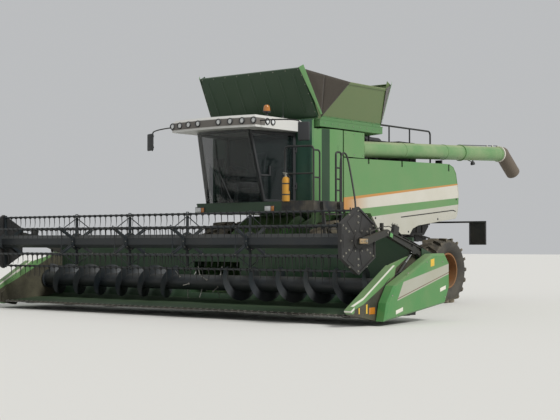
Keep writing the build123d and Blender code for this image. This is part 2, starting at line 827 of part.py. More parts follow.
def doorFrameRing():
    ring = sideSheet(doorOutline(0), 0, doorWall) - sideSheet(doorOutline(doorFrame), -1, doorWall + 1)
    ears = []
    for z in (2500, 3250):
        for lift in (-40, 50):
            points = [(doorLength - 10, z + lift), (doorLength - 10, z + lift + 30),
                      (cabSide + 12, z + lift + 30), (cabSide + 12, z + lift)]
            ears.append(sideSheet(points, 2, 26))
    ring = fuse([ring] + ears)
    for z in (2500, 3250):
        pin = Pos(cabSide, z - 60, 14) * Rot(-90, 0, 0) * Cylinder(hingePinR + runGap, 160,
                                                                   align=(Align.CENTER, Align.CENTER,
                                                                          Align.MIN))
        ring = ring - sidePlane() * pin
    arm = sideSheet([(-120, 2700), (-120, 2730), (145, 2730), (145, 2700)], doorWall - 4, doorWall + 8)
    handle = sideSheet([(120, 2705), (120, 2900), (145, 2900), (145, 2705)], doorWall - 4, doorWall + 30)
    return fuse([ring, arm, handle])


def doorGlass():
    return sideSheet(doorOutline(doorFrame + faceGap), 12, 12 + glassWall)


def roofPlan(grow, z):
    f = roofFront - grow
    c = roofCorner - grow
    h = roofHalf + grow
    arc = ThreePointArc((-h, c, z), (0, f, z), (h, c, z))
    r = roofRear + grow
    return make_face(Wire([arc, Line((h, c, z), (h, r, z)), Line((h, r, z), (-h, r, z)),
                           Line((-h, r, z), (-h, c, z))]))


def roof():
    base = extrude(roofPlan(0, roofBottom), amount=roofTop - 50 - roofBottom, dir=(0, 0, 1))
    cap = loft([roofPlan(0, roofTop - 50), roofPlan(-50, roofTop)], ruled=True)
    plug = box(-700, 700, 1900, 3000, cabHeader, roofBottom)
    return fuse([base, cap, plug])


def roofLamps():
    lamps = []
    for x in (-1070, -820, -550, -270, 270, 550, 820, 1070):
        y = roofCorner - (roofCorner - roofFront) * (1 - (x / roofHalf) ** 2)
        lamps.append(rod((x, y + 40, 3741), (x, y - 22, 3741), 50))
    return group([lamp - roof() for lamp in lamps])


def beacon():
    stem = discZ(1000, 2000, roofTop, roofTop + 90, 22)
    dome = discZ(1000, 2000, roofTop + 90, roofTop + 230, 75)
    return fuse([stem, dome])


def aerial():
    return discZ(1010, 2500, roofTop, roofTop + 330, 6)


def mirrorArm():
    arm = [rod((1080, 1640, 3740), (1960, 1830, 3700), 14), discZ(1960, 1830, 3280, 3714, 14)]
    head = Pos(2030, 1850, 3488) * Rot(0, 0, 20) * Box(230, 60, 360)
    return fuse(arm + [head]) - roof()


def seat():
    base = box(-230, 230, 2440, 2780, cabSill, 2480)
    return base


def seatCushion():
    cushion = box(-260, 260, 2400, 2840, 2480, 2600)
    back = Pos(0, 2840, 2610) * Rot(-8, 0, 0) * Pos(0, 0, 310) * Box(500, 110, 700)
    return group([cushion, back - box(-300, 300, 2300, 3000, 2400, 2600 + faceGap)])


def steeringColumn():
    post = rod((0, 2246, cabSill + 12), (0, 2335, 2850), 45)
    foot = box(-90, 90, 2190, 2300, cabSill, cabSill + 30)
    ring = Pos(0, 2335, 2850) * Rot(-20, 0, 0) * Torus(190, 16)
    spoke = Pos(0, 2335, 2850) * Rot(-20, 0, 0) * Box(380, 40, 20)
    return fuse([post, foot, ring, spoke])


def console():
    side = box(-560, -330, 2350, 2900, cabSill, 2700)
    lever = discZ(-440, 2420, 2700, 2860, 20)
    return fuse([side, lever])


# Platform and ladder

def platform():
    deck = box(950 + faceGap, platformOuter, cabFront, wallFront, platformTop - 60, platformTop)
    y = railFrontY - 30
    outline = [(1360 + faceGap, cabFront), (railFrontX - 60, y), (railFrontX + 60, y),
               (platformOuter, railOuterY - 30)]
    front = prismZ(outline + [(platformOuter, cabFront)], platformTop - platformWall, platformTop)
    edge = box(platformOuter - 40, platformOuter, cabFront, wallFront, platformTop - platformWall,
               platformTop)
    return fuse([deck, front, edge])


def handrails():
    x0 = railFrontX
    x1 = platformOuter - 30
    y0 = railFrontY
    y1 = 2310
    low = railTopZ - 75
    corner = railOuterY
    front = pipe([(x0, y0, platformTop), (x0, y0, railTopZ), (x1, corner, railTopZ),
                  (x1, corner, platformTop)], tubeR, 70)
    side = pipe([(x1, corner, low), (x1, y1, low), (x1, y1, platformTop)], tubeR - 3, 60)
    bars = [rod((x0, y0, railMidZ), (x1, corner, railMidZ), tubeR - 4)]
    bars.append(rod((x1, corner, railMidZ - 75), (x1, y1, railMidZ - 75), tubeR - 5))
    y2 = 2840
    y3 = 3020
    rear = pipe([(x1, y2, platformTop), (x1, y2, low), (x1, y3, low), (x1, y3, platformTop)], tubeR, 60)
    rungs = [rod((x1, y2, z), (x1, y3, z), tubeR - 4) for z in (2400, 2620, 2840)]
    return group([fuse([front, side] + bars), fuse([rear] + rungs)])


def ladder():
    pieces = []
    x0 = platformOuter + 10
    for y in (ladderTopY, ladderTopY + ladderWidth):
        side = [(x0, platformTop - 20), (x0 + 60, platformTop - 20), (x0 + 240, ladderBottom),
                (x0 + 180, ladderBottom)]
        pieces.append(prismY(side, y - 20, y + 20))
    run = platformTop - 20 - ladderBottom
    for k in range(ladderSteps):
        z = ladderBottom + 30 + k * run / ladderSteps
        x = x0 + 190 - 180 * (z - ladderBottom) / run
        pieces.append(box(x - 70, x + 110, ladderTopY, ladderTopY + ladderWidth, z, z + 25))
    for y in (ladderTopY, ladderTopY + ladderWidth):
        pieces.append(box(platformOuter, x0 + 20, y - 20, y + 20, platformTop - 120, platformTop - 60))
    return fuse(pieces)


def extinguisher():
    x, y, z = railFrontX + 110, railFrontY - 110, platformTop - 20
    can = discZ(x, y, z, z + 480, 75) + discZ(x, y, z + 480, z + 560, 30)
    return can + box(x - 130, x + 20, y + 60, railFrontY - tubeR - faceGap, z + 120, z + 160)


def rearBoards():
    # Square marker boards, each on its own arm from the side of the straw hood
    y = boardY
    arm = box(hoodHalf + faceGap, boardOuter, y - 20, y, boardTop, boardTop + 40)
    foot = box(hoodHalf + faceGap, hoodHalf + 12, y - 230, y, boardTop - 40, boardTop + 80)
    board = box(boardOuter - boardWidth, boardOuter, y - faceGap, y + 18, boardTop - boardHeight,
                boardTop + 40)
    return both(fuse([arm, foot, board]))


# Feeder house and header

def feederHouse():
    c = (feederPivotY, feederPivotZ)
    outer = [(feederFront, feederMouthBottom), (feederFront, feederMouthTop), (c[0] - 160, c[1] + 245),
             (c[0], c[1] + feederEndR)]
    outer += [(c[0] + 220, c[1] + 190), (c[0] + 290, c[1]), (c[0] + 200, c[1] - 200),
              (c[0], c[1] - feederEndR)]
    w = feederWall
    inner = [(feederFront - 10, feederMouthBottom + w), (feederFront - 10, feederMouthTop - w),
             (c[0] - 150, c[1] + 205)]
    inner += [(c[0] + 100, c[1] + 240 - w), (c[0] + 120, c[1] - 180), (c[0] - 20, c[1] - feederEndR + w)]
    body = prismX(outer, -feederHalf, feederHalf) - prismX(inner, -feederHalf + w, feederHalf - w)
    for side in (1, -1):
        body = body - discX(side * (feederHalf - w - 5), side * (feederHalf + 5), c[0], c[1],
                            feederPinR + runGap)
    for side in (1, -1):
        x = side * headerLiftX
        slope = [(headerEyeY - 60, headerEyeZ - 50), (headerEyeY + 60, headerEyeZ - 50),
                 (headerEyeY + 100, 700), (headerEyeY - 100, 560)]
        for k in (-1, 1):
            body = body + prismX(slope, x + k * 50 - 12, x + k * 50 + 12)
        body = body + discX(x - 55, x + 55, headerEyeY, headerEyeZ, 25)
    return body


def headerFrame():
    front = knifeY + 20
    outline = [(front, knifeZ), (700, 195), (950, 215), (1250, 215), (1480, 290), (1610, 480), (1640, 700),
               (1650, headerTop)]
    outline += [(1700, headerTop), (1700, 300), (1500, 130), (front, 140)]
    shell = prismX(outline, -headerHalf, headerHalf)
    pieces = [shell]
    pieces.append(box(-headerHalf, headerHalf, 1700, 1860, beamBottom, beamBottom + 160))
    pieces.append(box(-headerHalf, headerHalf, 1700, 1820, 300, 420))
    for x in (-3200, -1600, 1600, 3200):
        pieces.append(box(x - 30, x + 30, 1700, 1800, 400, beamBottom + 5))
    body = fuse(pieces)
    mouth = feederHalf - feederWall
    adapter = box(-feederHalf - 60, feederHalf + 60, 1690, feederFront - faceGap, 300, beamBottom + 60)
    body = body + adapter
    body = body - box(-mouth, mouth, 1500, feederFront + 5, 380, 1000)
    for side in (1, -1):
        for x0, x1 in ((headerHalf - 10, armInner - moveGap), (armOuter + moveGap,
                                                               armOuter + moveGap + 14)):
            a, b = sorted((side * x0, side * x1))
            body = body + prismX([(1701, 1060), (1701, 1280), (1990, 1200), (1990, 1090)], a, b)
        a, b = sorted((side * 4560, side * (armOuter + moveGap + 14)))
        body = body + box(a, b, 1990 - 5, 2020, 1090, 1200)
        body = body + discX(side * (headerHalf + 30), side * (armOuter + moveGap + 5), armPivotY,
                            armPivotZ, armPinR)
    return body


def knifeBar():
    points = []
    pitch = 152.4
    count = 59
    start = -count * pitch / 2
    points.append((start, knifeY + 20))
    points.append((start, knifeY - 40))
    for k in range(count):
        points.append((start + (k + 0.5) * pitch, knifeY - 130))
        points.append((start + (k + 1) * pitch, knifeY - 40))
    points.append((start + count * pitch, knifeY + 20))
    return prismZ(points, knifeZ - 20, knifeZ - 6)


def intakeAuger():
    reach = headerHalf - faceGap - 10
    tube = discX(-reach, reach, augerY, augerZ, augerTubeR)
    stubs = discX(-headerHalf - 20, headerHalf + 20, augerY, augerZ, 40)
    return fuse([tube, stubs])


def fingers():
    pieces = []
    for k in range(5):
        angle = k * 72
        bar = rod((0, 0, augerTubeR - 5), (0, 0, augerFlightR), 9)
        x = -480 + k * 240
        pieces.append(Pos(x, augerY, augerZ) * Rot(angle, 0, 0) * bar)
    return pieces


def flightDiscs():
    # One turn of flight at each station, as a thin skewed ring round the tube
    pieces = []
    stations = 6
    for side in (1, -1):
        for k in range(stations):
            x = side * (700 + augerPitch * (k + 0.5))
            ring = discX(-flightWall / 2, flightWall / 2, 0, 0, augerFlightR) - discX(-40, 40, 0, 0,
                                                                                      augerTubeR - 4)
            pieces.append(Pos(x, augerY, augerZ) * Rot(0, 0, side * 12) * ring)
    return pieces


def auger():
    return fuse([intakeAuger()] + flightDiscs() + fingers())


def sidePlate():
    outline = [(0, 130), (0, 330), (420, 760), (900, 1000), (1640, 1180), (1699, 1180), (1699, 160),
               (1500, 110)]
    plate = prismX(outline, headerHalf + faceGap, headerHalf + sideWall)
    pin = discX(headerHalf + sideWall - 5, armOuter - 10, reelBaseY, reelBaseZ, reelPinR)
    return plate + pin - discX(headerHalf - 5, headerHalf + sideWall + 5, augerY, augerZ, 40 + runGap)


def divider():
    nose = [(-465, 262), (-450, 290), (420, 798), (754, 992), (860, 985), (700, 400), (401, 60),
            (-380, 200)]
    body = prismX(nose, headerHalf + sideWall, 4735)
    cut = Plane(origin=(4735, -350, 0), x_dir=(0, 1, 0), z_dir=(1, -0.35, 0))
    wedge = prismZ([(4640, -360), (4800, -360), (4800, 60)], 0, 1200)
    return body - wedge


def outerShield():
    outline = [(210, 80), (290, 380), (500, 660), (1730, 1180), (2130, 1185), (2270, 1030), (2270, 590),
               (2130, 315)]
    core = prismX(outline, shieldInner, shieldOuter - 40)
    front = make_face(Polyline(*[(shieldOuter - 40, y, z) for y, z in outline], close=True))
    centre = (1250, 650)
    small = [(centre[0] + (y - centre[0]) * 0.955, centre[1] + (z - centre[1]) * 0.93) for y, z in outline]
    back = make_face(Polyline(*[(shieldOuter, y, z) for y, z in small], close=True))
    cap = loft([front, back], ruled=True)
    stays = [box(headerHalf + sideWall, shieldInner + 5, y, y + 60, z, z + 60) for y,
             z in ((950, 300), (1560, 640))]
    return fuse([core, cap] + stays)


# Reel

def tineBar():
    # The bar and its tines are one comb, seen along Y
    count = 2 * int((barReach - 60) / tinePitch)
    start = -(count - 1) * tinePitch / 2
    low = -barHeight / 2
    points = [(-barReach, low), (-barReach, -low), (barReach, -low), (barReach, low)]
    for k in range(count):
        x = -start - k * tinePitch
        points.append((x + tineWidth / 2, low))
        points.append((x, low - tineLength + barHeight / 2))
        points.append((x - tineWidth / 2, low))
    comb = prismY(points, -barDepth / 2, barDepth / 2)
    collars = []
    for side in (1, -1):
        x = side * reelHalf
        collars.append(discX(side * (barReach - 30), side * (reelHalf - 5), 0, 0, collarR))
    return fuse([comb] + collars)


def barPlace(k):
    angle = math.radians(k * 360 / barCount)
    return (barCircle * math.sin(angle), reelZ + barCircle * math.cos(angle))


def spiderPlate(x, endPlate):
    pieces = [discX(x, x + spiderWall, 0, reelZ, 170)]
    for k in range(barCount):
        arm = box(x, x + spiderWall, -32, 32, 0, barCircle + 42)
        pieces.append(Pos(0, 0, reelZ) * Rot(-k * 360 / barCount, 0, 0) * arm)
    plate = fuse(pieces)
    for k in range(barCount):
        y, z = barPlace(k)
        if endPlate:
            plate = plate - discX(x - 5, x + spiderWall + 5, y, z, collarR + runGap)
        else:
            hole = box(x - 5, x + spiderWall + 5, -27, 27, -27, 27)
            plate = plate - Pos(0, y, z) * Rot(-k * 360 / barCount, 0, 0) * hole
    return plate


def reelCore():
    hexagon = [(reelTubeR * math.sin(math.radians(60 * k)), reelZ + reelTubeR * math.cos(math.radians(60 * k))) for k in range(6)]
    pieces = [prismX(hexagon, -reelHalf, reelHalf)]
    bay = 2 * math.floor(barReach / spiderBays / tinePitch) * tinePitch
    for k in range(spiderBays + 1):
        ends = k in (0, spiderBays)
        x = (k - spiderBays / 2) * bay - spiderWall / 2
        if k == 0:
            x = -barReach
        if k == spiderBays:
            x = barReach - spiderWall
        pieces.append(spiderPlate(x, ends))
    return fuse(pieces)


def reelShields():
    hexagon = [(hexShieldR * math.sin(math.radians(60 * k)), reelZ + hexShieldR * math.cos(math.radians(60 * k))) for k in range(6)]
    plate = prismX(hexagon, reelHalf, reelHalf + hexShieldDepth)
    shaft = discX(reelHalf + hexShieldDepth, armOuter - 5, 0, reelZ, shaftR)
    one = fuse([plate, shaft])
    return group([one, mirrored(one)])


def reelArm():
    outline = [(-75, reelZ - 60), (-75, reelZ + 60), (60, reelZ + 60), (armElbowY, armElbowZ + 55),
               (armPivotY + 20, armPivotZ + 75)]
    outline += [(armPivotY + 65, armPivotZ + 15), (armPivotY + 40, armPivotZ - 55),
                (armPivotY - 30, armPivotZ - 60)]
    outline += [(armElbowY, armElbowZ - 55), (80, reelZ - 60)]
    arm = prismX(outline, armInner, armOuter)
    slot = [(armElbowY + 40, armElbowZ + 12), (armPivotY - 130, armPivotZ + 105),
            (armPivotY - 130, armPivotZ + 50), (armElbowY + 40, armElbowZ - 40)]
    arm = arm - prismX(slot, armOuter - 25, armOuter + 1)
    arm = arm - discX(armInner - 5, armOuter + 5, 0, reelZ, shaftR + runGap)
    arm = arm - discX(armInner - 5, armOuter + 5, armPivotY, armPivotZ, armPinR + runGap)
    arm = arm - box(armInner + 20, armOuter - 20, reelEyeY - 60, reelEyeY + 60, reelEyeZ - 60,
                    reelEyeZ + 45)
    lug = prismX([(reelEyeY - 60, reelEyeZ - 35), (reelEyeY + 60, reelEyeZ - 35),
                  (reelEyeY + 60, reelEyeZ + 90), (reelEyeY - 60, reelEyeZ + 120)], armInner, armInner + 14)
    other = prismX([(reelEyeY - 60, reelEyeZ - 35), (reelEyeY + 60, reelEyeZ - 35),
                    (reelEyeY + 60, reelEyeZ + 90), (reelEyeY - 60,
                                                     reelEyeZ + 120)], armOuter - 14, armOuter)
    pin = discX(armInner + 5, armOuter - 5, reelEyeY, reelEyeZ, 14)
    return fuse([arm, lug, other, pin])


def barrelAndRod(x, base, eye, barrelR, rodR, pinR, reach):
    # The barrel turns on its base pin, and the rod ends in an eye
    by, bz = base
    ey, ez = eye
    length = math.hypot(ey - by, ez - bz)
    dy, dz = (ey - by) / length, (ez - bz) / length
    end = length * reach
    barrel = rod((x, by + dy * (pinR + 10), bz + dz * (pinR + 10)), (x, by + dy * end, bz + dz * end),
                 barrelR)
    barrel = barrel + discX(x - barrelR * 0.8, x + barrelR * 0.8, by, bz, pinR + 18)
    barrel = barrel - discX(x - barrelR, x + barrelR, by, bz, pinR + runGap)
    barrel = barrel - rod((x, by + dy * (end - length * 0.35), bz + dz * (end - length * 0.35)),
                          (x, by + dy * (end + 5), bz + dz * (end + 5)), rodR + runGap)
    stem = rod((x, by + dy * (end - length * 0.28), bz + dz * (end - length * 0.28)),
               (x, ey - dy * (pinR + eyePlay + 3), ez - dz * (pinR + eyePlay + 3)), rodR)
    stem = stem + discX(x - rodR, x + rodR, ey, ez, pinR + eyeWall + eyePlay)
    stem = stem - discX(x - rodR - 5, x + rodR + 5, ey, ez, pinR + eyePlay)
    return barrel, stem


def headerCylinders():
    barrels = []
    rods = []
    for side in (1, -1):
        x = side * headerLiftX
        barrel, stem = barrelAndRod(x, (headerBaseY, headerBaseZ), (headerEyeY, headerEyeZ),
                                     headerBarrelR, headerRodR, headerPinR, headerBarrelShare)
        barrels.append(barrel)
        rods.append(stem)
    return group(barrels), group(rods)


def reelCylinders():
    barrels = []
    rods = []
    for side in (1, -1):
        x = side * (armInner + armOuter) / 2
        barrel, stem = barrelAndRod(x, (reelBaseY, reelBaseZ), (reelEyeY, reelEyeZ),
                                     reelBarrelR, reelRodR, reelPinR, reelBarrelShare)
        barrels.append(barrel)
        rods.append(stem)
    return group(barrels), group(rods)


def save(shape, name):
    export_step(Pos(0, -centreY, 0) * shape, "parts/" + name + ".step")


def main():
    os.makedirs("parts", exist_ok=True)
    frontTyre = tyre(frontTyreR, frontTyreW, frontRimR, frontLugs)
    rearTyre = tyre(rearTyreR, rearTyreW, rearRimR, rearLugs)
    frontRim = rim(frontTyreW, frontRimR, frontDiscX, spindleR + runGap)
    rearRim = rim(rearTyreW, rearRimR, rearDiscX, rearSpindleR + runGap)
    placedFront = Pos(frontTrack, frontAxleY, frontTyreR)
    placedRear = Pos(rearTrack, rearAxleY, rearTyreR)
    pairs = {
        "front_tyre": placedFront * frontTyre,
        "front_rim": placedFront * frontRim,
        "rear_tyre": placedRear * rearTyre,
        "rear_rim": placedRear * rearRim,
        "rear_knuckle": knuckle(),
        "side_panel": sidePanel(),
        "side_flap": sideFlap(),
    }
    for name, shape in pairs.items():
        save(shape, name + "_left")
        save(mirrored(shape), name + "_right")
    headerBarrels, headerRods = headerCylinders()
    reelBarrels, reelRods = reelCylinders()
    singles = {
        "axles": group([frontAxle(), rearAxle()]),
        "chassis_frame": group([chassisFrame(), cleaningShoe()]),
        "thresher_body": thresherBody(),
        "straw_hood": group([strawHood(), strawSpreader()]),
        "grain_tank": group([fuse([grainTank(), flapHinges(), unloaderBase()]), tankAuger()]),
        "end_flap_front": endFlap(True),
        "end_flap_rear": endFlap(False),
        "tank_canvas": tankCanvas(),
        "front_skins": group([frontWall(), both(cornerPanel())]),
        "engine_deck": group([engineDeck(), rearSkin()]),
        "rails": group([deckRails(), handrails()]),
        "engine": group([engine(), airCleaner(), exhaust()]),
        "cooling_box": coolingBox(),
        "unloader_elbow": group([unloaderElbow(), unloaderCover()]),
        "unloader_tube": unloaderTube(),
        "unloader_spout": unloaderSpout(),
        "cab_floor": cabFloor(),
        "cab_frame": cabFrame(),
        "cab_glass": group([windscreen(), rightWindow(), rearWindow()]),
        "door_frame": doorFrameRing(),
        "door_glass": doorGlass(),
        "cab_roof": roof(),
        "cab_fittings": group([roofLamps(), beacon(), aerial(), both(mirrorArm()), extinguisher()]),
        "cab_inside": group([seat(), steeringColumn(), console()]),
        "seat_cushion": seatCushion(),
        "platform": group([platform(), ladder()]),
        "rear_boards": rearBoards(),
        "feeder_house": feederHouse(),
        "header_frame": headerFrame(),
        "knife_bar": knifeBar(),
        "intake_auger": auger(),
        "side_plates": group([both(sidePlate()), both(divider())]),
        "outer_shields": both(outerShield()),
        "reel_arms": both(reelArm()),
        "reel_core": reelCore(),
        "reel_shields": reelShields(),
        "header_barrels": headerBarrels,
        "header_rods": headerRods,
        "reel_barrels": reelBarrels,
        "reel_rods": reelRods,
    }
    for name, shape in singles.items():
        save(shape, name)
    bar = tineBar()
    for k in range(barCount):
        y, z = barPlace(k)
        save(Pos(0, y, z) * bar, "tine_bar_" + str(k + 1))


main()
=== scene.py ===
import functools
import math
import bpy
import bmesh
from mathutils import Vector, Matrix, Euler


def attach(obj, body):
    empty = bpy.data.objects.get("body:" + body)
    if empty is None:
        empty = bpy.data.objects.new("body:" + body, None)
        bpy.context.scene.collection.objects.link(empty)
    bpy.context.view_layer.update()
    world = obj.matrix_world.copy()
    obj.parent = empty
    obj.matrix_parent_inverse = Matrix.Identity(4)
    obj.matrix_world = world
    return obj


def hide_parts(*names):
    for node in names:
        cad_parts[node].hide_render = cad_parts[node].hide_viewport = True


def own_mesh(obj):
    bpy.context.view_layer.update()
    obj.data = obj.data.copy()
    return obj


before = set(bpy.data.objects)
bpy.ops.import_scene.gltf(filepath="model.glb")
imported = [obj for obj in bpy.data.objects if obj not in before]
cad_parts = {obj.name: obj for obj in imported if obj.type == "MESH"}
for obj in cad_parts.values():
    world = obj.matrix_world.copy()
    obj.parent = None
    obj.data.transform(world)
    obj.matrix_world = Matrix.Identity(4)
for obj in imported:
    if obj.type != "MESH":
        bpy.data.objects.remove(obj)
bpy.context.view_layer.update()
print("frame loaded")

scene = bpy.context.scene
backY = 5.661  # metres from the reel's axis back to the middle of the machine
hands = ((1, "left"), (-1, "right"))


def at(x, y, z):
    # a place measured from the reel's axis, as the part's source measures it
    return Vector((x, y - backY, z))


# colours are written as on screen and turned into the linear values that nodes want
def fromHex(code):
    parts = [int(code[i:i + 2], 16) / 255 for i in (1, 3, 5)]
    return tuple([p / 12.92 if p <= 0.04045 else ((p + 0.055) / 1.055) ** 2.4 for p in parts] + [1.0])


def addNode(tree, kind, **parts):
    # one node, or one that is there already: small letters set it, the rest feeds its sockets by name or
    # as i0, i1
    node = tree.nodes.new("ShaderNode" + kind) if isinstance(kind, str) else kind
    for key, value in parts.items():
        if hasattr(node, key):
            setattr(node, key, value)
            continue
        socket = node.inputs[int(key[1:])] if key[1:].isdigit() else node.inputs[key.replace("_", " ")]
        if isinstance(value, bpy.types.Node):
            value = value.outputs[2 if value.type == "MIX" else 0]
        if isinstance(value, bpy.types.NodeSocket):
            tree.links.new(value, socket)
        else:
            socket.default_value = fromHex(value) if isinstance(value, str) else value
    return node


def startMaterial(name):
    mat = bpy.data.materials.new(name)
    mat.use_nodes = True
    add = functools.partial(addNode, mat.node_tree)
    return mat, add, mat.node_tree.nodes["Principled BSDF"], add("TexCoord").outputs["Object"]


def waves(add, along, perMetre):
    # fine even waves along a measure, for ribs, rings and threads
    return add("Math", operation="SINE", i0=add("Math", operation="MULTIPLY", i0=along, i1=perMetre))


# field dust: its cloud and grit, the heights between which it thins, and how level a face is when dust
# lies on it
dustLook = {"cloud": 1.4, "grit": 42.0, "gritShare": 0.3, "from": 0.46, "to": 0.98, "ground": 0.2,
    "clean": 3.4, "level": 0.55, "ledge": 0.9}


def dusty(name, base, dust, rough, amount, low=1.35, high=0.55, orange=0.06, metal=0.0, zones=None):
    # a finish under field dust: the colour, its gloss, fine bump in the gloss, and dust that thickens low
    # down
    look = dustLook
    mat, add, shader, coords = startMaterial(name)
    cloud = add("TexNoise", i0=coords, Scale=look["cloud"], Detail=6.0, Roughness=0.62)
    grit = add("TexNoise", i0=coords, Scale=look["grit"], Detail=3.0, Roughness=0.6)
    both = add("Math", operation="MULTIPLY_ADD", i0=grit, i1=look["gritShare"], i2=cloud)
    spread = add("MapRange", i0=both, i1=look["from"], i2=look["to"], i3=0.0, i4=amount)
    place = add("SeparateXYZ", i0=coords)
    height = add("MapRange", i0=place.outputs["Z"], i1=look["ground"], i2=look["clean"], i3=low, i4=high)
    facing = add("SeparateXYZ", i0=add("NewGeometry").outputs["Normal"])
    ledge = add("MapRange", i0=facing.outputs["Z"], i1=look["level"], i2=1.0, i3=0.0,
        i4=amount * look["ledge"])
    settled = add("Math", operation="MULTIPLY", i0=spread, i1=height)
    total = add("Math", operation="ADD", use_clamp=True, i0=settled, i1=ledge)
    paint = zones(add, place) if zones else base
    mixed = add("Mix", data_type="RGBA", i0=total, i6=paint, i7=dust)
    gloss = add("MapRange", i0=total, i1=0.0, i2=0.6, i3=rough, i4=min(0.95, rough + 0.4))
    bump = add("Bump", Strength=orange, Distance=0.004, Height=grit)
    add(shader, Base_Color=mixed, Roughness=gloss, Normal=bump, Metallic=metal)
    return mat


def bands(first, lines):
    # paint in bands under sloping lines across y and z: (y of a point, its z, slope, colour below it), or
    # above it
    def paint(add, place):
        colour = first
        for y0, z0, slope, below, *over in lines:
            lean = add("Math", operation="MULTIPLY_ADD", i0=place.outputs["Y"], i1=-slope,
                i2=place.outputs["Z"])
            edge = z0 + slope * (backY - y0)
            above = float(bool(over))
            under = add("MapRange", i0=lean, i1=edge - 0.003, i2=edge + 0.003, i3=1.0 - above, i4=above)
            tint = below if isinstance(below, str) else fadeAlong(add, place, *below)
            colour = add("Mix", data_type="RGBA", i0=under, i6=colour, i7=tint)
        return colour
    return paint


def fadeAlong(add, place, near, far, start, end):
    # a colour that passes into another from y start to y end
    part = add("MapRange", i0=place.outputs["Y"], i1=start - backY, i2=end - backY, i3=0.0, i4=1.0)
    return add("Mix", data_type="RGBA", i0=part, i6=near, i7=far)


green, olive, orange = "#5b8853", "#66794f", "#b8803f"
dust, black, blackDust = "#93906f", "#1b1e20", "#57503f"
shieldGreen, shieldPale = "#427f44", "#a4a396"
panelBands = [(3.757, 2.29, 0.1005, orange), (4.4, 2.298, 0.1065, (orange, "#c4c0b4", 4.0, 4.8)),
    (4.4, 2.08, 0.0853, green), (4.62, 1.902, 0.0964, "#b3b1a6")]
shieldBands = [(0.758, 0.718, 0.1933, shieldPale), (0.566, 0.446, 0.2475, "#5c4232"), (0.566, 0.432, 0.2475,
    shieldPale),
    (0.566, 0.409, 0.2475, shieldGreen), (0.566, 0.409, 1.61, shieldGreen, True)]
dividerBands = [(-0.45, 0.281, 0.584, "#d3d0c6"), (-0.45, 0.243, 0.584, green), (-0.42, 0.215, 0.49,
    "#33302b")]


def wallShadeZones(add, place):
    # painted shade: the front wall, which stands in the cab's shade, gets a darker green; the rounded corners
    # keep the side's green
    across = add("Math", operation="ABSOLUTE", i0=place.outputs["X"])
    outer = add("MapRange", i0=across, i1=1.326, i2=1.331, i3=0.0, i4=1.0)
    # 33584a is the wall's green darkened as painted shade
    return add("Mix", data_type="RGBA", i0=outer, i6="#33584a", i7=green)


def tyreRubber(name, y, z):
    # tyre rubber: fine rings moulded in the wall, dull rubber, and soil ground into the tread
    mat, add, shader, coords = startMaterial(name)
    centred = add("Mapping", i0=coords, Location=tuple(-at(0, y, z)))
    flat = add("VectorMath", operation="MULTIPLY", i0=centred, i1=(0.0, 1.0, 1.0))
    reach = add("VectorMath", operation="LENGTH", i0=flat).outputs["Value"]
    tread = add("MapRange", i0=reach, i1=z * 0.86, i2=z * 0.97, i3=0.18, i4=0.75)
    cloud = add("TexNoise", i0=coords, Scale=3.2, Detail=7.0, Roughness=0.65)
    patch = add("MapRange", i0=cloud, i1=0.38, i2=0.68, i3=0.25, i4=1.0)
    soil = add("Math", operation="MULTIPLY", i0=tread, i1=patch)
    mixed = add("Mix", data_type="RGBA", i0=soil, i6="#302f2d", i7="#8f846e")
    bump = add("Bump", Strength=0.25, Distance=0.003, Height=waves(add, reach, 420.0))
    add(shader, Base_Color=mixed, Roughness=0.86, Normal=bump)
    return mat


def clearGlass(name, tint, alpha, rough):
    # glass or clear plastic: tint, how much shows through, and a film of dust that dulls the shine a little
    mat, add, shader, coords = startMaterial(name)
    film = add("TexNoise", i0=coords, Scale=2.4, Detail=5.0)
    dim = add("MapRange", i0=film, i1=0.35, i2=0.8, i3=rough, i4=rough + 0.12)
    add(shader, Roughness=dim, Base_Color=tint, Alpha=alpha, Coat_Weight=0.5)
    return mat


def lampLens(name, tint):
    # moulded lens: close upright ribs that break the light up, under a glossy face; the ribs are also painted
    # as darker stripes, which is painted shade
    mat, add, shader, coords = startMaterial(name)
    ribs = waves(add, add("SeparateXYZ", i0=coords).outputs["X"], 700.0)
    shade = add("MapRange", i0=ribs, i1=-1.0, i2=1.0, i3=0.0, i4=0.35)
    mixed = add("Mix", data_type="RGBA", i0=shade, i6=tint, i7="#2b2b2b")
    bump = add("Bump", Strength=0.4, Distance=0.002, Height=ribs)
    add(shader, Base_Color=mixed, Normal=bump, Roughness=0.12, Coat_Weight=0.8)
    return mat


def wovenCloth(name, base, fleck, threads, sheen, depth):
    # cloth: warp and weft as crossed fine waves, flecked yarn, and the soft sheen of its nap
    mat, add, shader, coords = startMaterial(name)
    place = add("SeparateXYZ", i0=coords)
    run = add("Math", operation="ADD", i0=place.outputs["Y"], i1=place.outputs["Z"])
    weave = add("Math", operation="MULTIPLY", i0=waves(add, place.outputs["X"], threads), i1=waves(add, run,
        threads))
    yarn = add("TexNoise", i0=coords, Scale=60.0, Detail=4.0)
    share = add("Math", operation="MULTIPLY_ADD", i0=weave, i1=0.2, i2=yarn)
    mixed = add("Mix", data_type="RGBA", i0=share, i6=base, i7=fleck)
    bump = add("Bump", Strength=depth, Distance=0.0015, Height=weave)
    add(shader, Base_Color=mixed, Normal=bump, Roughness=0.92, Sheen_Weight=sheen)
    return mat


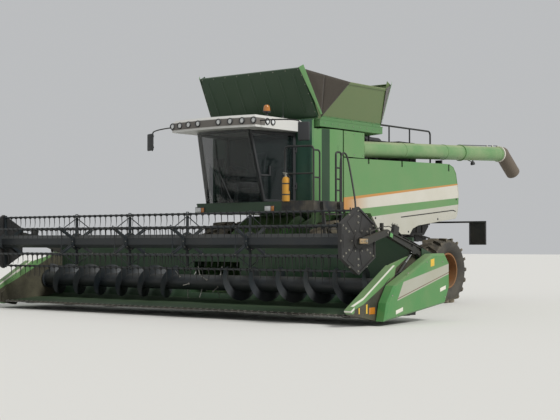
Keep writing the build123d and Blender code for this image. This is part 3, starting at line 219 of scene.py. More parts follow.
def treadPlate(name, base, dust):
    # walked-on deck: raised lozenges in two directions, rubbed paler on their tops
    mat, add, shader, coords = startMaterial(name)
    turned = [add("Mapping", i0=coords, Rotation=(0.0, 0.0, math.radians(a)), Scale=(1.0, 0.28, 1.0))
        for a in (45, -45)]
    dots = [add("TexVoronoi", feature="F1", i0=turn, Scale=34.0, Randomness=0.0) for turn in turned]
    raised = add("Math", operation="MINIMUM", i0=dots[0], i1=dots[1])
    top = add("MapRange", i0=raised, i1=0.12, i2=0.3, i3=1.0, i4=0.0)
    cloud = add("TexNoise", i0=coords, Scale=4.0, Detail=6.0)
    rubbed = add("MapRange", i0=cloud, i1=0.4, i2=0.75, i3=0.0, i4=0.55)
    worn = add("Math", operation="MULTIPLY_ADD", use_clamp=True, i0=top, i1=0.25, i2=rubbed)
    mixed = add("Mix", data_type="RGBA", i0=worn, i6=base, i7=dust)
    bump = add("Bump", Strength=0.5, Distance=0.004, Height=top)
    add(shader, Base_Color=mixed, Normal=bump, Roughness=0.62)
    return mat


# each finish: its name, colour, the dust on it, how rough it is, how much dust it takes, and what else
# differs
paints = {
    "sideGreen": ("side_green_paint", green, dust, 0.32, 0.35),
    "panel": ("banded_side_panel_paint", green, dust, 0.32, 0.3, {"zones": bands(green, panelBands)}),
    "tube": ("dusty_unloader_paint", green, "#a5a685", 0.4, 0.6, {"low": 0.9, "high": 0.9}),
    # the wall part of this paint is darkened as painted shade
    "corner": ("corner_paint_with_wall_shade", green, dust, 0.32, 0.22, {"zones": wallShadeZones}),
    # the machine's green darkened as painted shade, for faces that stand in shade; the dust on it is real
    "paintedShadeGreen": ("green_darkened_as_painted_shade", "#243f29", "#515940", 0.36, 0.22),
    "rimGreen": ("tank_rim_paint", "#4d7a49", dust, 0.36, 0.3),
    "headerGreen": ("header_green_paint", "#4f9455", "#8b8a66", 0.34, 0.4),
    "shieldPaint": ("banded_shield_paint", green, dust, 0.32, 0.3, {"zones": bands(shieldGreen,
    shieldBands)}),
    "dividerPaint": ("banded_divider_paint", green, dust, 0.34, 0.3, {"zones": bands(green, dividerBands)}),
    "olive": ("olive_flap_paint", olive, "#8d8468", 0.5, 0.35),
    "black": ("black_chassis_paint", black, blackDust, 0.45, 0.4),
    "reel": ("reel_blue_grey_paint", "#1b2227", "#4a473e", 0.38, 0.3),
    "shield": ("hex_shield_paint", "#1d1e1f", "#56514a", 0.45, 0.3),
    "rimPaint": ("wheel_rim_paint", "#7d5029", "#7c674c", 0.42, 0.55),
    "roof": ("roof_moulded_plastic", "#cdcdc9", "#a9a08c", 0.38, 0.25, {"low": 0.9, "high": 0.9}),
    # the visor's grey-brown is partly dust and partly painted shade on its front
    "visor": ("visor_plastic_dust_and_shade", "#67635e", "#7b7060", 0.42, 0.3),
    "trim": ("cab_trim_plastic", "#2a2c2e", "#565048", 0.55, 0.2, {"orange": 0.25}),
    "spout": ("spout_moulded_rubber", "#5d5349", "#857a67", 0.7, 0.4, {"orange": 0.2}),
    "bare": ("bright_cut_steel", "#9a9a95", "#6d6250", 0.32, 0.45, {"metal": 0.7}),
    "nut": ("zinc_plated_bolts", "#a8a69c", "#6d6250", 0.35, 0.35, {"metal": 0.8}),
    "engine": ("engine_casting", "#4f473d", "#7d6a4c", 0.6, 0.5, {"orange": 0.4}),
    "rust": ("heated_exhaust_steel", "#6a5040", "#8a7154", 0.7, 0.4, {"metal": 0.3, "orange": 0.3}),
    "chrome": ("cylinder_rod_chrome", "#cfcfcf", "#b5aa96", 0.1, 0.08, {"metal": 1.0, "orange": 0.0}),
    "tan": ("bearing_block_paint", "#9a8462", "#7c674c", 0.5, 0.4),
    "amberPaint": ("extinguisher_enamel", "#c08a2a", "#8f7a4c", 0.3, 0.25),
    "yellow": ("yellow_plate_enamel", "#d9b13a", "#9c8a50", 0.35, 0.2),
    "plate": ("blank_plate_enamel", "#d8d5c8", "#9c927c", 0.35, 0.2),
    "hose": ("rubber_hydraulic_hose", "#17181a", "#4f483b", 0.7, 0.3),
    "belt": ("drive_belt_rubber", "#26231f", "#6a5d48", 0.8, 0.5),
    "plastic": ("black_tine_plastic", "#141618", "#4a453b", 0.5, 0.25),
    "mirror": ("mirror_silvering", "#cfd6d8", "#a9a08c", 0.05, 0.08, {"metal": 1.0, "orange": 0.0}),
}
mats = {key: dusty(*look[:5], **dict(*look[5:])) for key, look in paints.items()}
mats.update({
    "frontTyre": tyreRubber("front_tyre_rubber", 3.87, 0.92),
    "rearTyre": tyreRubber("rear_tyre_rubber", 7.72, 0.74),
    "glass": clearGlass("tinted_cab_glass", "#1c2625", 0.38, 0.03),
    "clearLens": lampLens("clear_lamp_lens", "#e2e4e2"),
    "redLens": lampLens("red_lamp_lens", "#8a1c16"),
    "amberLens": lampLens("amber_lamp_lens", "#c0761f"),
    "seat": wovenCloth("seat_cloth", "#34363b", "#4c4e52", 900.0, 0.3, 0.5),
    "canvas": wovenCloth("tank_canvas_cloth", "#312b26", "#4a443a", 1400.0, 0.2, 0.35),
    "tread": treadPlate("platform_tread_steel", black, "#6a6150"),
})
# what each part of the frame wears; the rest is cab trim
wears = {
    "black": "axles chassis_frame straw_hood engine_deck rails cooling_box rear_boards reel_arms "
    "header_barrels reel_barrels rear_knuckle_left rear_knuckle_right",
    "sideGreen": "thresher_body unloader_elbow feeder_house", "rimGreen": "grain_tank",
    "corner": "front_skins", "tube": "unloader_tube",
    # the front end flap, the cab's floor band and the header frame face forward into shade and wear the
    # painted shade green
    "paintedShadeGreen": "end_flap_front cab_floor header_frame",
    "olive": "end_flap_rear side_flap_left side_flap_right",
    "spout": "unloader_spout", "glass": "cab_glass door_glass", "roof": "cab_roof", "tread": "platform",
    "bare": "knife_bar",
    "dividerPaint": "side_plates", "shieldPaint": "outer_shields", "reel": "reel_core",
    "shield": "reel_shields",
    "chrome": "header_rods reel_rods", "frontTyre": "front_tyre_left front_tyre_right",
    "rearTyre": "rear_tyre_left rear_tyre_right",
    "rimPaint": "front_rim_left front_rim_right rear_rim_left rear_rim_right",
    "panel": "side_panel_left side_panel_right",
}
byNode = {node: key for key, nodes in wears.items() for node in nodes.split()}
for node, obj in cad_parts.items():
    obj.data.materials.clear()
    obj.data.materials.append(mats[byNode.get(node, "trim")])
print("materials on the frame")


def easeEdges(form, edges, ease, rounds=2):
    bmesh.ops.bevel(form, geom=edges, offset=ease, segments=rounds, profile=0.5, affect="EDGES", material=-1)


def addBlock(form, a, b, ease=0.0, turn=None, place=None, rounds=2):
    # a box between two opposite corners, edges eased; it stands in the machine, or in a place of its own
    low, high = Vector(tuple(map(min, a, b))), Vector(tuple(map(max, a, b)))
    middle = (low + high) / 2
    matrix = place @ Matrix.LocRotScale(middle, turn,
        high - low) if place else Matrix.LocRotScale(at(*middle), turn, high - low)
    made = bmesh.ops.create_cube(form, size=1.0, matrix=matrix)
    if ease:
        easeEdges(form, list({edge for vert in made["verts"] for edge in vert.link_edges}), ease, rounds)


def addBar(form, start, end, radius, sides=16, tip=None):
    # a round bar from one place to another, or a cone if its tip differs
    start, end = at(*start), at(*end)
    run = end - start
    place = Matrix.Translation((start + end) / 2) @ run.to_track_quat("Z", "Y").to_matrix().to_4x4()
    bmesh.ops.create_cone(form, cap_ends=True, segments=sides, radius1=radius, radius2=radius if tip is None
        else tip,
        depth=run.length, matrix=place)


def addPin(form, near, far, y, z, radius, sides=16):
    # a round bar straight across the machine
    addBar(form, (near, y, z), (far, y, z), radius, sides)


def shift(form, parts, vec):
    # move the points among freshly drawn-out parts, and hand them back
    verts = [part for part in parts if isinstance(part, bmesh.types.BMVert)]
    bmesh.ops.translate(form, vec=vec, verts=verts)
    return verts


def addPlate(form, outline, depth, ease=0.0):
    # a flat outline given its thickness
    face = form.faces.new([form.verts.new(at(*point)) for point in outline])
    rim = list(face.edges)
    pushed = bmesh.ops.extrude_face_region(form, geom=[face])["geom"]
    shift(form, pushed, depth)
    if ease:
        easeEdges(form, rim + [part for part in pushed if isinstance(part, bmesh.types.BMEdge)], ease)


def addTurned(form, profile, centre, axis, steps=32):
    # a turned shape: (radius, distance along the axis) pairs spun right round
    axis = Vector(axis).normalized()
    out = axis.orthogonal().normalized()
    verts = [form.verts.new(at(*centre) + out * radius + axis * reach) for radius, reach in profile]
    edges = [form.edges.new(pair) for pair in zip(verts, verts[1:])]
    bmesh.ops.spin(form, geom=verts + edges, cent=at(*centre), axis=axis, angle=math.tau, steps=steps,
        use_merge=True)


def addEach(add, form, *rows):
    for row in rows:
        add(form, *row)


def flip(part, side):
    # a place, or a list of places, on the machine's left (1) or right (-1)
    if isinstance(part, list):
        return [flip(place, side) for place in part]
    return (side * part[0], *part[1:]) if isinstance(part, tuple) and len(part) == 3 else part


def addSide(side, add, form, *rows):
    # the same shapes on one side of the machine or the other
    for row in rows:
        add(form, *flip(list(row), side))


def ring(count, radius, y, z, start=0.0):
    # places on a circle about an axis across the machine
    turns = [start + k * math.tau / count for k in range(count)]
    return [(y + radius * math.cos(turn), z + radius * math.sin(turn)) for turn in turns]


def leant(x=0.0, z=0.0):
    return Euler((x, 0, z)).to_quaternion()


def newForms(count):
    return [bmesh.new() for k in range(count)]


def finishPiece(name, mesh, mat, body):
    mesh.materials.append(mats[mat])
    piece = bpy.data.objects.new(name, mesh)
    scene.collection.objects.link(piece)
    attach(piece, body)
    return piece


def makePiece(name, form, mat, body="root", stands=None, soften=32):
    bmesh.ops.remove_doubles(form, verts=form.verts, dist=0.00002)
    bmesh.ops.recalc_face_normals(form, faces=form.faces)
    mesh = bpy.data.meshes.new(name)
    form.to_mesh(mesh)
    form.free()
    mesh.shade_smooth()
    mesh.set_sharp_from_angle(angle=math.radians(soften))
    piece = finishPiece(name, mesh, mat, body)
    if stands:
        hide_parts(stands)
    return piece


def makePipes(name, runs, radius, mat, body="root"):
    # rigid pipes: each run of places becomes one smooth line with a round section
    line = bpy.data.curves.new(name, "CURVE")
    line.dimensions = "3D"
    line.bevel_depth = radius
    line.bevel_resolution = 2
    line.use_fill_caps = True
    for run in runs:
        spline = line.splines.new("NURBS")
        spline.points.add(len(run) - 1)
        for point, place in zip(spline.points, run):
            point.co = (*at(*place), 1.0)
        spline.order_u = 3
        spline.use_endpoint_u = True
        spline.resolution_u = 4
    holder = bpy.data.objects.new(name + "_line", line)
    mesh = bpy.data.meshes.new_from_object(holder)
    bpy.data.objects.remove(holder)
    mesh.materials.clear()
    mesh.shade_smooth()
    finishPiece(name, mesh, mat, body)


# wheels: planet hub, ring of nuts and valve on each rim; each nut is a washer, a hexagon and a stud
wheels = {
    "front_wheel": {"x": 1.342, "y": 3.87, "z": 0.92, "nutCircle": 0.185, "nuts": 12, "hub": 0.135,
    "reach": 0.105, "lip": 0.43},
    "rear_wheel": {"x": 1.372, "y": 7.72, "z": 0.74, "nutCircle": 0.15, "nuts": 10, "hub": 0.105,
    "reach": 0.085, "lip": 0.385},
}
wheelNut = ((-0.002, 0.006, 0.024, 16), (0.004, 0.026, 0.018, 6), (0.02, 0.04, 0.010, 10))
for wheelName, wheel in wheels.items():
    x, y, z, hub, reach, lip = [wheel[key] for key in ("x", "y", "z", "hub", "reach", "lip")]
    for side, hand in hands:
        form, nuts = newForms(2)
        addTurned(form, [(hub + 0.02, 0.0), (hub + 0.02, 0.012), (hub, 0.02), (hub, reach - 0.02),
            (hub - 0.015, reach), (0.045, reach + 0.004),
            (0.04, reach + 0.012), (0.0, reach + 0.012)], (side * x, y, z), (side, 0, 0), 40)
        makePiece("%s_hub_%s" % (wheelName, hand), form, "rimPaint", "%s_%s" % (wheelName, hand))
        for cy, cz in ring(wheel["nuts"], wheel["nutCircle"], y, z):
            for near, far, radius, sides in wheelNut:
                addPin(nuts, side * (x + near), side * (x + far), cy, cz, radius, sides)
        for cy, cz in ring(8, hub * 0.7, y, z, math.tau / 16):
            addPin(nuts, side * (x + reach - 0.004), side * (x + reach + 0.012), cy, cz, 0.009, 6)
        addBar(nuts, (side * (x + 0.1), y + lip * 0.86, z), (side * (x + 0.17), y + lip * 0.9, z), 0.007, 8)
        makePiece("%s_nuts_%s" % (wheelName, hand), nuts, "nut", "%s_%s" % (wheelName, hand))
print("wheels")

# roof front: grey visor along the curve, its grey partly dust and partly painted shade, round lamps, amber
# beacon and aerial, ribs and hatch on top
roof = {"half": 1.10, "top": 3.85, "front": 1.40, "corner": 1.53, "lamps": (-1.07, -0.82, -0.55, -0.27, 0.27,
    0.55, 0.82, 1.07), "lampZ": 3.735,
    "visorLow": 3.655, "visorHigh": 3.79, "visorEnd": 1.82, "sideLamps": (1.89, 2.06), "beacon": (1.0, 2.0,
    3.85), "aerial": (1.01, 2.5, 3.85)}


def roofEdge(x):
    return roof["corner"] - (roof["corner"] - roof["front"]) * (1 - (x / roof["half"]) ** 2)


form = bmesh.new()
places = [roof["half"] * (k / 12 - 1) for k in range(25)]
low = [form.verts.new(at(x, roofEdge(x) - 0.002, roof["visorLow"])) for x in places]
edges = [form.edges.new(pair) for pair in zip(low, low[1:])]
shift(form, bmesh.ops.extrude_edge_only(form, edges=edges)["geom"],
    (0, 0, roof["visorHigh"] - roof["visorLow"]))
shift(form, bmesh.ops.extrude_face_region(form, geom=list(form.faces), use_keep_orig=True)["geom"],
    (0, -0.008, 0))
for side, hand in hands:
    addSide(side, addBlock, form, ((roof["half"] - 0.001, roof["corner"] - 0.009, roof["visorLow"]),
        (roof["half"] + 0.009, roof["visorEnd"], roof["visorHigh"]), 0.003))
makePiece("roof_visor", form, "visor")
lampRing = [(0.046, -0.004), (0.066, -0.004), (0.067, 0.012), (0.061, 0.024), (0.052, 0.024), (0.048, 0.006),
    (0.046, -0.004)]
lampLensShape = [(0.049, 0.002), (0.047, 0.011), (0.032, 0.017), (0.0, 0.019)]
form, lens = newForms(2)
lampPlaces = [((x, roofEdge(x) - 0.008, roof["lampZ"]), (0, -1, 0)) for x in roof["lamps"]]
lampPlaces += [((side * roof["half"], y, roof["lampZ"]), (side, 0, 0)) for side, hand in hands
    for y in roof["sideLamps"]]
for centre, axis in lampPlaces:
    addTurned(form, lampRing, centre, axis, 28)
    addTurned(lens, lampLensShape, centre, axis, 28)
makePiece("roof_lamp_rings", form, "trim", stands="cab_fittings")
makePiece("roof_lamp_lenses", lens, "clearLens", stands="cab_fittings")
form, lens = newForms(2)
up = (0, 0, 1)
addTurned(form, [(0.0, -0.002), (0.05, -0.002), (0.05, 0.012), (0.024, 0.02), (0.024, 0.07), (0.078, 0.082),
    (0.08, 0.1), (0.0, 0.1)],
    roof["beacon"], up, 28)
addTurned(form, [(0.0, -0.002), (0.02, -0.002), (0.02, 0.02), (0.008, 0.04), (0.004, 0.06), (0.0025, 0.325),
    (0.004, 0.33), (0.0, 0.333)],
    roof["aerial"], up, 14)
makePiece("beacon_foot_and_aerial", form, "trim", stands="cab_fittings")
rise = [(radius - 0.002 * k, height + 0.016 * k) for k in range(6) for radius, height in ((0.074, 0.108),
    (0.070, 0.113))]
addTurned(lens, [(0.0, 0.1), (0.074, 0.1)] + rise + [(0.055, 0.208), (0.03, 0.225), (0.0, 0.23)],
    roof["beacon"], up, 32)
makePiece("beacon_dome", lens, "amberLens", stands="cab_fittings")
form = bmesh.new()
top = roof["top"]
addEach(addBlock, form, *[((x - 0.045, 1.66, top - 0.004), (x + 0.045, 2.94, top + 0.011), 0.005)
    for x in (-0.82, -0.5, 0.5, 0.82)])
addEach(addBlock, form, ((-0.34, 1.98, top - 0.004), (0.34, 2.62, top + 0.02), 0.01),
    ((-0.30, 2.02, top + 0.016), (0.30, 2.58, top + 0.03), 0.008))
addEach(addPin, form, *[(x - 0.05, x + 0.05, 2.632, top + 0.008, 0.009, 10) for x in (-0.2, 0.2)])
makePiece("roof_ribs_and_hatch", form, "roof")
print("roof lamps")

# mirrors on their bent arms, with a wide-angle glass below the main one
mirrors = {"arm": [(1.06, 1.66, 3.735), (1.4, 1.70, 3.74), (1.90, 1.81, 3.715), (1.96, 1.83, 3.66),
    (1.96, 1.83, 3.3)], "head": (2.03, 1.85, 3.488),
    "size": (0.115, 0.03, 0.178), "turn": 20}
mirrorParts = (("shell", "trim", [((-1, -1, -1), (1, 0.55, 1), 0.018)]),
    ("glass", "mirror", [((-0.9, 0.5, -0.28), (0.9, 0.62, 0.93), 0.0), ((-0.9, 0.5, -0.93),
    (0.9, 0.62, -0.36), 0.0)]))
clamps = bmesh.new()
for side, hand in hands:
    makePipes("mirror_arm_" + hand, flip([mirrors["arm"]], side), 0.013, "black")
    headTurn = Matrix.Rotation(side * math.radians(mirrors["turn"]), 4, "Z")
    place = Matrix.Translation(at(*flip(mirrors["head"], side))) @ headTurn
    for part, mat, parts in mirrorParts:
        form = bmesh.new()
        for low, high, ease in parts:
            low, high = [[a * b for a, b in zip(end, mirrors["size"])] for end in (low, high)]
            addBlock(form, low, high, ease, None, place, 3)
        makePiece("mirror_%s_%s" % (part, hand), form, mat, stands="cab_fittings")
    addSide(side, addBlock, clamps, *[((1.94, 1.81, z), (1.99, 1.86, z + 0.035), 0.004) for z in (3.36, 3.6)])
makePiece("mirror_clamps", clamps, "trim", stands="cab_fittings")

# extinguisher: enamelled bottle with shoulder and foot ring, brass-coloured valve, lever, hose and strap
bottle = {"foot": (1.61, 1.83, 2.16), "radius": 0.074}
form, valve, straps = newForms(3)
r, (x, y, low) = bottle["radius"], bottle["foot"]
addTurned(form, [(0, 0.012), (r * 0.7, 0.0), (r * 0.96, 0.006), (r, 0.02), (r, 0.4), (r * 0.9, 0.44),
    (r * 0.55, 0.468), (0.022, 0.478), (0.0, 0.478)],
    bottle["foot"], up, 32)
makePiece("extinguisher_bottle", form, "amberPaint", stands="cab_fittings")
addTurned(valve, [(0.0, 0.475), (0.024, 0.475), (0.024, 0.5), (0.018, 0.505), (0.018, 0.53), (0.0, 0.53)],
    bottle["foot"], up, 18)
addBlock(valve, (x - 0.06, y - 0.012, low + 0.525), (x + 0.03, y + 0.012, low + 0.538), 0.003)
addBlock(valve, (x - 0.07, y - 0.012, low + 0.545), (x + 0.02, y + 0.012, low + 0.558), 0.003,
    Euler((0, 0.15, 0)).to_quaternion())
makePiece("extinguisher_valve", valve, "nut", stands="cab_fittings")
for z in (0.12, 0.33):
    addTurned(straps, [(r + 0.0005, z), (r + 0.003, z), (r + 0.003, z + 0.025), (r + 0.0005, z + 0.025),
        (r + 0.0005, z)], bottle["foot"], up, 32)
addBlock(straps, (1.48, 1.89, low + 0.10), (1.63, 1.917, low + 0.16), 0.004)
makePiece("extinguisher_straps", straps, "trim", stands="cab_fittings")
makePipes("extinguisher_hose", [[(x + out, y, low + rise) for out, rise in ((0.02, 0.515), (0.09, 0.5),
    (0.1, 0.38), (0.088, 0.2))]], 0.009, "hose")
print("mirrors and extinguisher")

# headlamps and small lamps in the green band under the windscreen
bandLamps = {"x": (-0.86, 0.98), "z": 2.045, "face": 2.12}
form, lens, amber = newForms(3)
for x in bandLamps["x"]:
    y, z = bandLamps["face"], bandLamps["z"]
    addBlock(form, (x - 0.13, y - 0.018, z - 0.062), (x + 0.13, y + 0.01, z + 0.062), 0.012)
    for target, near, far in ((lens, -0.115, 0.03), (amber, 0.04, 0.115)):
        addBlock(target, (x + near, y - 0.026, z - 0.048), (x + far, y - 0.012, z + 0.048), 0.008)
makePiece("band_lamp_frames", form, "trim")
makePiece("band_lamp_lenses", lens, "clearLens")
makePiece("band_turn_lenses", amber, "amberLens")

# wiper along the windscreen's middle and its spindle
wiper = {"pivot": (0.08, 2.22), "lean": 0.25, "bow": 0.12, "half": 0.747, "foot": (2.168, 2.18)}


def onScreen(x, z, clear):
    # a place on the windscreen, or clear of it
    y, low = wiper["foot"]
    return x, y - wiper["lean"] * (z - low) - wiper["bow"] * (1 - (x / wiper["half"]) ** 2) - clear, z


form = bmesh.new()
x0, z0 = wiper["pivot"]
x1, z1 = x0 - 0.22, z0 + 0.6
addEach(addBar, form, (onScreen(x0, z0, -0.01), (x0, onScreen(x0, z0, 0.035)[1], z0 - 0.005), 0.022, 16),
    (onScreen(x0, z0, 0.028), onScreen(x1, z1, 0.03), 0.008, 8))
for k in range(10):
    x, z = x1 - 0.02 + 0.004 * k, z1 - 0.45 + 0.1 * k
    addBar(form, onScreen(x, z, 0.012), onScreen(x + 0.004, z + 0.1, 0.012), 0.006, 6)
addBar(form, onScreen(x1, z1, 0.03), (x1 - 0.003, onScreen(x1, z1, 0.008)[1], z1), 0.01, 8)
makePiece("windscreen_wiper", form, "trim")

# steering column, wheel, console with lever and screen, seat frame on its bellows
cabin = {"floor": 2.1803, "wheel": (0, 2.335, 2.85), "tilt": 20, "ring": 0.19, "post": (0, 2.246, 2.192),
    "console": (-0.56, 2.35, -0.33, 2.90), "top": 2.70}
floorZ = cabin["floor"]
form, console, frameForm = newForms(3)
wheelAxis = Vector((0, math.sin(math.radians(cabin["tilt"])), math.cos(math.radians(cabin["tilt"]))))
wheelCentre = Vector(cabin["wheel"])
section = [(cabin["ring"] + 0.015 * math.cos(k * math.tau / 10), 0.015 * math.sin(k * math.tau / 10))
    for k in range(11)]
addTurned(form, section, wheelCentre, wheelAxis, 40)
for turn in (90, 210, 330):
    out = Matrix.Rotation(math.radians(turn), 3, wheelAxis) @ wheelAxis.orthogonal().normalized()
    addBar(form, wheelCentre - wheelAxis * 0.01, wheelCentre + out * 0.188, 0.012, 8)
addTurned(form, [(0.0, -0.03), (0.04, -0.03), (0.05, 0.0), (0.045, 0.012), (0.0, 0.018)], wheelCentre,
    wheelAxis, 24)
addBar(form, cabin["post"], wheelCentre - wheelAxis * 0.02, 0.045, 20, 0.034)
addEach(addBlock, form, ((-0.09, 2.19, floorZ), (0.09, 2.30, 2.21), 0.01), ((-0.12, 2.2, 2.21), (-0.05, 2.33,
    2.225), 0.004, leant(0.5)))
makePiece("steering_column", form, "trim", stands="cab_inside")
x0, y0, x1, y1 = cabin["console"]
addEach(addBlock, console, ((x0, y0, floorZ), (x1, y1, 2.62), 0.03), ((x0 + 0.02, y0 + 0.02, 2.6),
    (x1 - 0.02, y1 - 0.05, cabin["top"]), 0.035),
    *[((x0 + 0.05 + 0.055 * k, 2.58 + 0.055 * j, 2.698), (x0 + 0.09 + 0.055 * k, 2.62 + 0.055 * j, 2.708),
    0.003) for k in range(3) for j in range(4)])
addBar(console, (-0.44, 2.43, 2.69), (-0.44, 2.42, 2.80), 0.014, 12)
addTurned(console, [(0.0, 0.0), (0.025, 0.002), (0.034, 0.03), (0.032, 0.075), (0.02, 0.095), (0.0, 0.1)],
    (-0.44, 2.42, 2.79), (0, 0.05, 1), 20)
addBar(console, (-0.52, 2.37, 2.69), (-0.53, 2.33, 2.93), 0.011, 10)
addBlock(console, (-0.66, 2.30, 2.92), (-0.40, 2.335, 3.10), 0.01)
makePiece("console_and_screen", console, "trim", stands="cab_inside")
addBlock(frameForm, (-0.20, 2.45, floorZ), (0.20, 2.77, 2.215), 0.008)
for k in range(5):
    grow = 0.0 if k % 2 else 0.02
    addBlock(frameForm, (-0.17 - grow, 2.475 - grow, 2.212 + 0.045 * k), (0.17 + grow, 2.745 + grow,
        2.262 + 0.045 * k), 0.018)
addEach(addBlock, frameForm, ((-0.235, 2.43, 2.435), (0.235, 2.80, 2.478), 0.012), ((-0.18, 2.86, 2.5),
    (0.18, 2.885, 2.95), 0.01, leant(-math.radians(8))))
for side, hand in hands:
    addSide(side, addBlock, frameForm, ((0.265, 2.50, 2.70), (0.335, 2.80, 2.745), 0.02))
    addSide(side, addBar, frameForm, ((0.30, 2.77, 2.47), (0.30, 2.77, 2.71), 0.014, 10),
        ((0.20, 2.77, 2.455), (0.305, 2.77, 2.475), 0.014, 10))
makePiece("seat_frame", frameForm, "trim", stands="cab_inside")
print("cab inside")

# tank flaps: pressed ribs and bolt rows on the outside of the end flaps
flapShape = {"lean": 28.6, "front": (3.155, 3.888), "rear": (5.385, 3.888), "ribs": (0.16, 0.98),
    "ribHalf": 0.03, "skin": 0.0095, "ribHigh": 0.011}
# the front flap's ribs wear the green darkened as painted shade; the rear flap's ribs wear the olive paint
for end, way, mat in (("front", -1, "paintedShadeGreen"), ("rear", 1, "olive")):
    lean = math.radians(flapShape["lean"])
    rise, out = Vector((0, way * math.sin(lean), math.cos(lean))), Vector((0, way * math.cos(lean),
        -math.sin(lean)))
    form, bolts = newForms(2)
    side = Vector((flapShape["ribHalf"], 0, 0))
    for k in range(-3, 4):
        foot, head = [Vector((k * 0.38, *flapShape[end])) + rise * share + out * flapShape["skin"]
            for share in flapShape["ribs"]]
        face = form.faces.new([form.verts.new(at(*place)) for place in (foot - side, foot + side, head + side,
            head - side)])
        top = shift(form, bmesh.ops.extrude_face_region(form, geom=[face])["geom"],
            out * flapShape["ribHigh"])
        middle = sum((vert.co for vert in top), Vector()) / 4
        bmesh.ops.scale(form, vec=(0.45, 0.97, 0.97), space=Matrix.Translation(-middle), verts=top)
    makePiece("end_flap_%s_ribs" % end, form, mat, "flap_" + end)
    rows = [(k * 0.32, 1.065, 0.011) for k in range(-4, 5)]
    rows += [(hand * (1.375 - 0.012 * k), 0.14 + 0.2 * k, 0.009) for hand in (1, -1) for k in range(5)]
    for x, share, radius in rows:
        place = Vector((x, *flapShape[end])) + rise * share
        addBar(bolts, place + out * 0.002, place + out * 0.016, radius, 6)
    makePiece("end_flap_%s_bolts" % end, bolts, "nut", "flap_" + end)

# tank inside: levelling auger with a wound flight, ladder of rungs and ties across
tankInside = {"shaft": (0.0, 2.90), "front": 3.17, "rear": 5.37, "flight": 0.13, "pitch": 0.26, "steps": 20}


def addFlight(form, start, centre, axis, pitch, turns, steps, sense=1):
    # a flight wound round its tube from a straight edge
    edge = form.edges.new(start)
    bmesh.ops.spin(form, geom=start + [edge], cent=centre, axis=axis, dvec=Vector(axis) * (pitch / steps),
        angle=sense * turns * math.tau, steps=turns * steps)


form, ladder = newForms(2)
x, z = tankInside["shaft"]
start = [form.verts.new(at(x, tankInside["front"] + 0.05, z + r)) for r in (0.058, tankInside["flight"])]
turns = int((tankInside["rear"] - tankInside["front"] - 0.1) / tankInside["pitch"])
addFlight(form, start, at(x, tankInside["front"], z), (0, 1, 0), tankInside["pitch"], turns,
    tankInside["steps"])
bmesh.ops.solidify(form, geom=list(form.faces), thickness=0.005)
makePiece("tank_auger_flight", form, "bare", soften=60)
addEach(addPin, ladder, *[(-0.6, -0.25, 3.19, 2.9 + 0.13 * k, 0.011, 10) for k in range(6)])
addEach(addBar, ladder, *[((x, 3.19, 2.8), (x, 3.19, 3.64), 0.012, 10) for x in (-0.6, -0.25)])
addEach(addPin, ladder, *[(-1.27, 0.86, y, 3.62, 0.017, 12) for y in (3.6, 4.3, 5.0)])
makePiece("tank_ladder_and_ties", ladder, "rimGreen")

# tank rim: folded top edge and rows of bolts that hold the skins
rim = {"half": 1.456, "front": 3.13, "rear": 5.41, "fold": 0.019, "low": 3.852, "high": 3.873}
form, bolts = newForms(2)
for side, hand in hands:
    addSide(side, addBlock, form, ((1.437, rim["front"], rim["low"]), (rim["half"], rim["rear"], rim["high"]),
        0.004))
    addEach(addPin, bolts, *[(side * 1.449, side * 1.458, 3.3 + 0.25 * k, 3.79, 0.010, 6) for k in range(9)])
for y in (rim["front"], rim["rear"] - rim["fold"]):
    addBlock(form, (-rim["half"], y, rim["low"]), (rim["half"], y + rim["fold"], rim["high"]), 0.004)
makePiece("tank_rim_fold", form, "rimGreen")
makePiece("tank_rim_bolts", bolts, "nut")

# hinge tubes and plates that close the gap under each flap
hinges = {"radius": 0.014, "gap": 0.012, "sideX": 1.435, "sideZ": 3.93, "sideReach": 1.07, "endReach": 1.38,
    "middle": 4.27, "plate": (3.868, 3.915)}
form = bmesh.new()
for k in range(8):
    y0 = hinges["middle"] - hinges["sideReach"] + k * hinges["sideReach"] / 4
    x0 = -hinges["endReach"] + k * hinges["endReach"] / 4
    for x in (hinges["sideX"], -hinges["sideX"]):
        addBar(form, (x, y0 + hinges["gap"], hinges["sideZ"]), (x, y0 + hinges["sideReach"] / 4,
            hinges["sideZ"]), hinges["radius"], 14)
    for y, z in (flapShape["front"], flapShape["rear"]):
        addPin(form, x0 + hinges["gap"], x0 + hinges["endReach"] / 4, y, z, hinges["radius"], 14)
low, high = hinges["plate"]
for x in (hinges["sideX"], -hinges["sideX"]):
    addBlock(form, (x - 0.006, hinges["middle"] - hinges["sideReach"], low), (x + 0.006, hinges["middle"]
        + hinges["sideReach"], high), 0.002)
makePiece("flap_hinge_tubes", form, "rimGreen")
print("tank")

# canvas corners: a stretched sheet in each corner, in two halves that meet in a seam and stay on their own
# flap when it folds, with a bright clamp strip along the end flap's edge
canvas = {"lap": 0.05, "belly": 0.02, "fold": 0.004, "thick": 0.003, "kept": 0.1, "cuts": 15,
    "stripFoot": (0.05, 0.04), "stripHead": 0.115,
    "stripOut": 0.009}
canvasPoints = [vert.co.copy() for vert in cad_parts["tank_canvas"].data.vertices]
middleY = sum(point.y for point in canvasPoints) / len(canvasPoints)


def canvasEnds(side, way):
    # the sheet's three corners: end flap's top, side flap's top and the tank's corner
    mine = [point for point in canvasPoints if point.x * side > 0 and (point.y - middleY) * way > 0]
    lowest = min(mine, key=lambda point: point.z)
    high = [point for point in mine if point.z > lowest.z + 0.3]
    farEnd = max(high, key=lambda point: point.y * way - 0.3 * point.x * side)
    farSide = max(high, key=lambda point: point.x * side - 0.3 * point.y * way)
    ends = []
    for corner in (farEnd, farSide, lowest):
        near = [point for point in mine if (point - corner).length < 0.02]
        ends.append(sum(near, Vector()) / len(near))
    centre = sum(ends, Vector()) / 3
    return [end + (end - centre) * canvas["lap"] for end in ends]


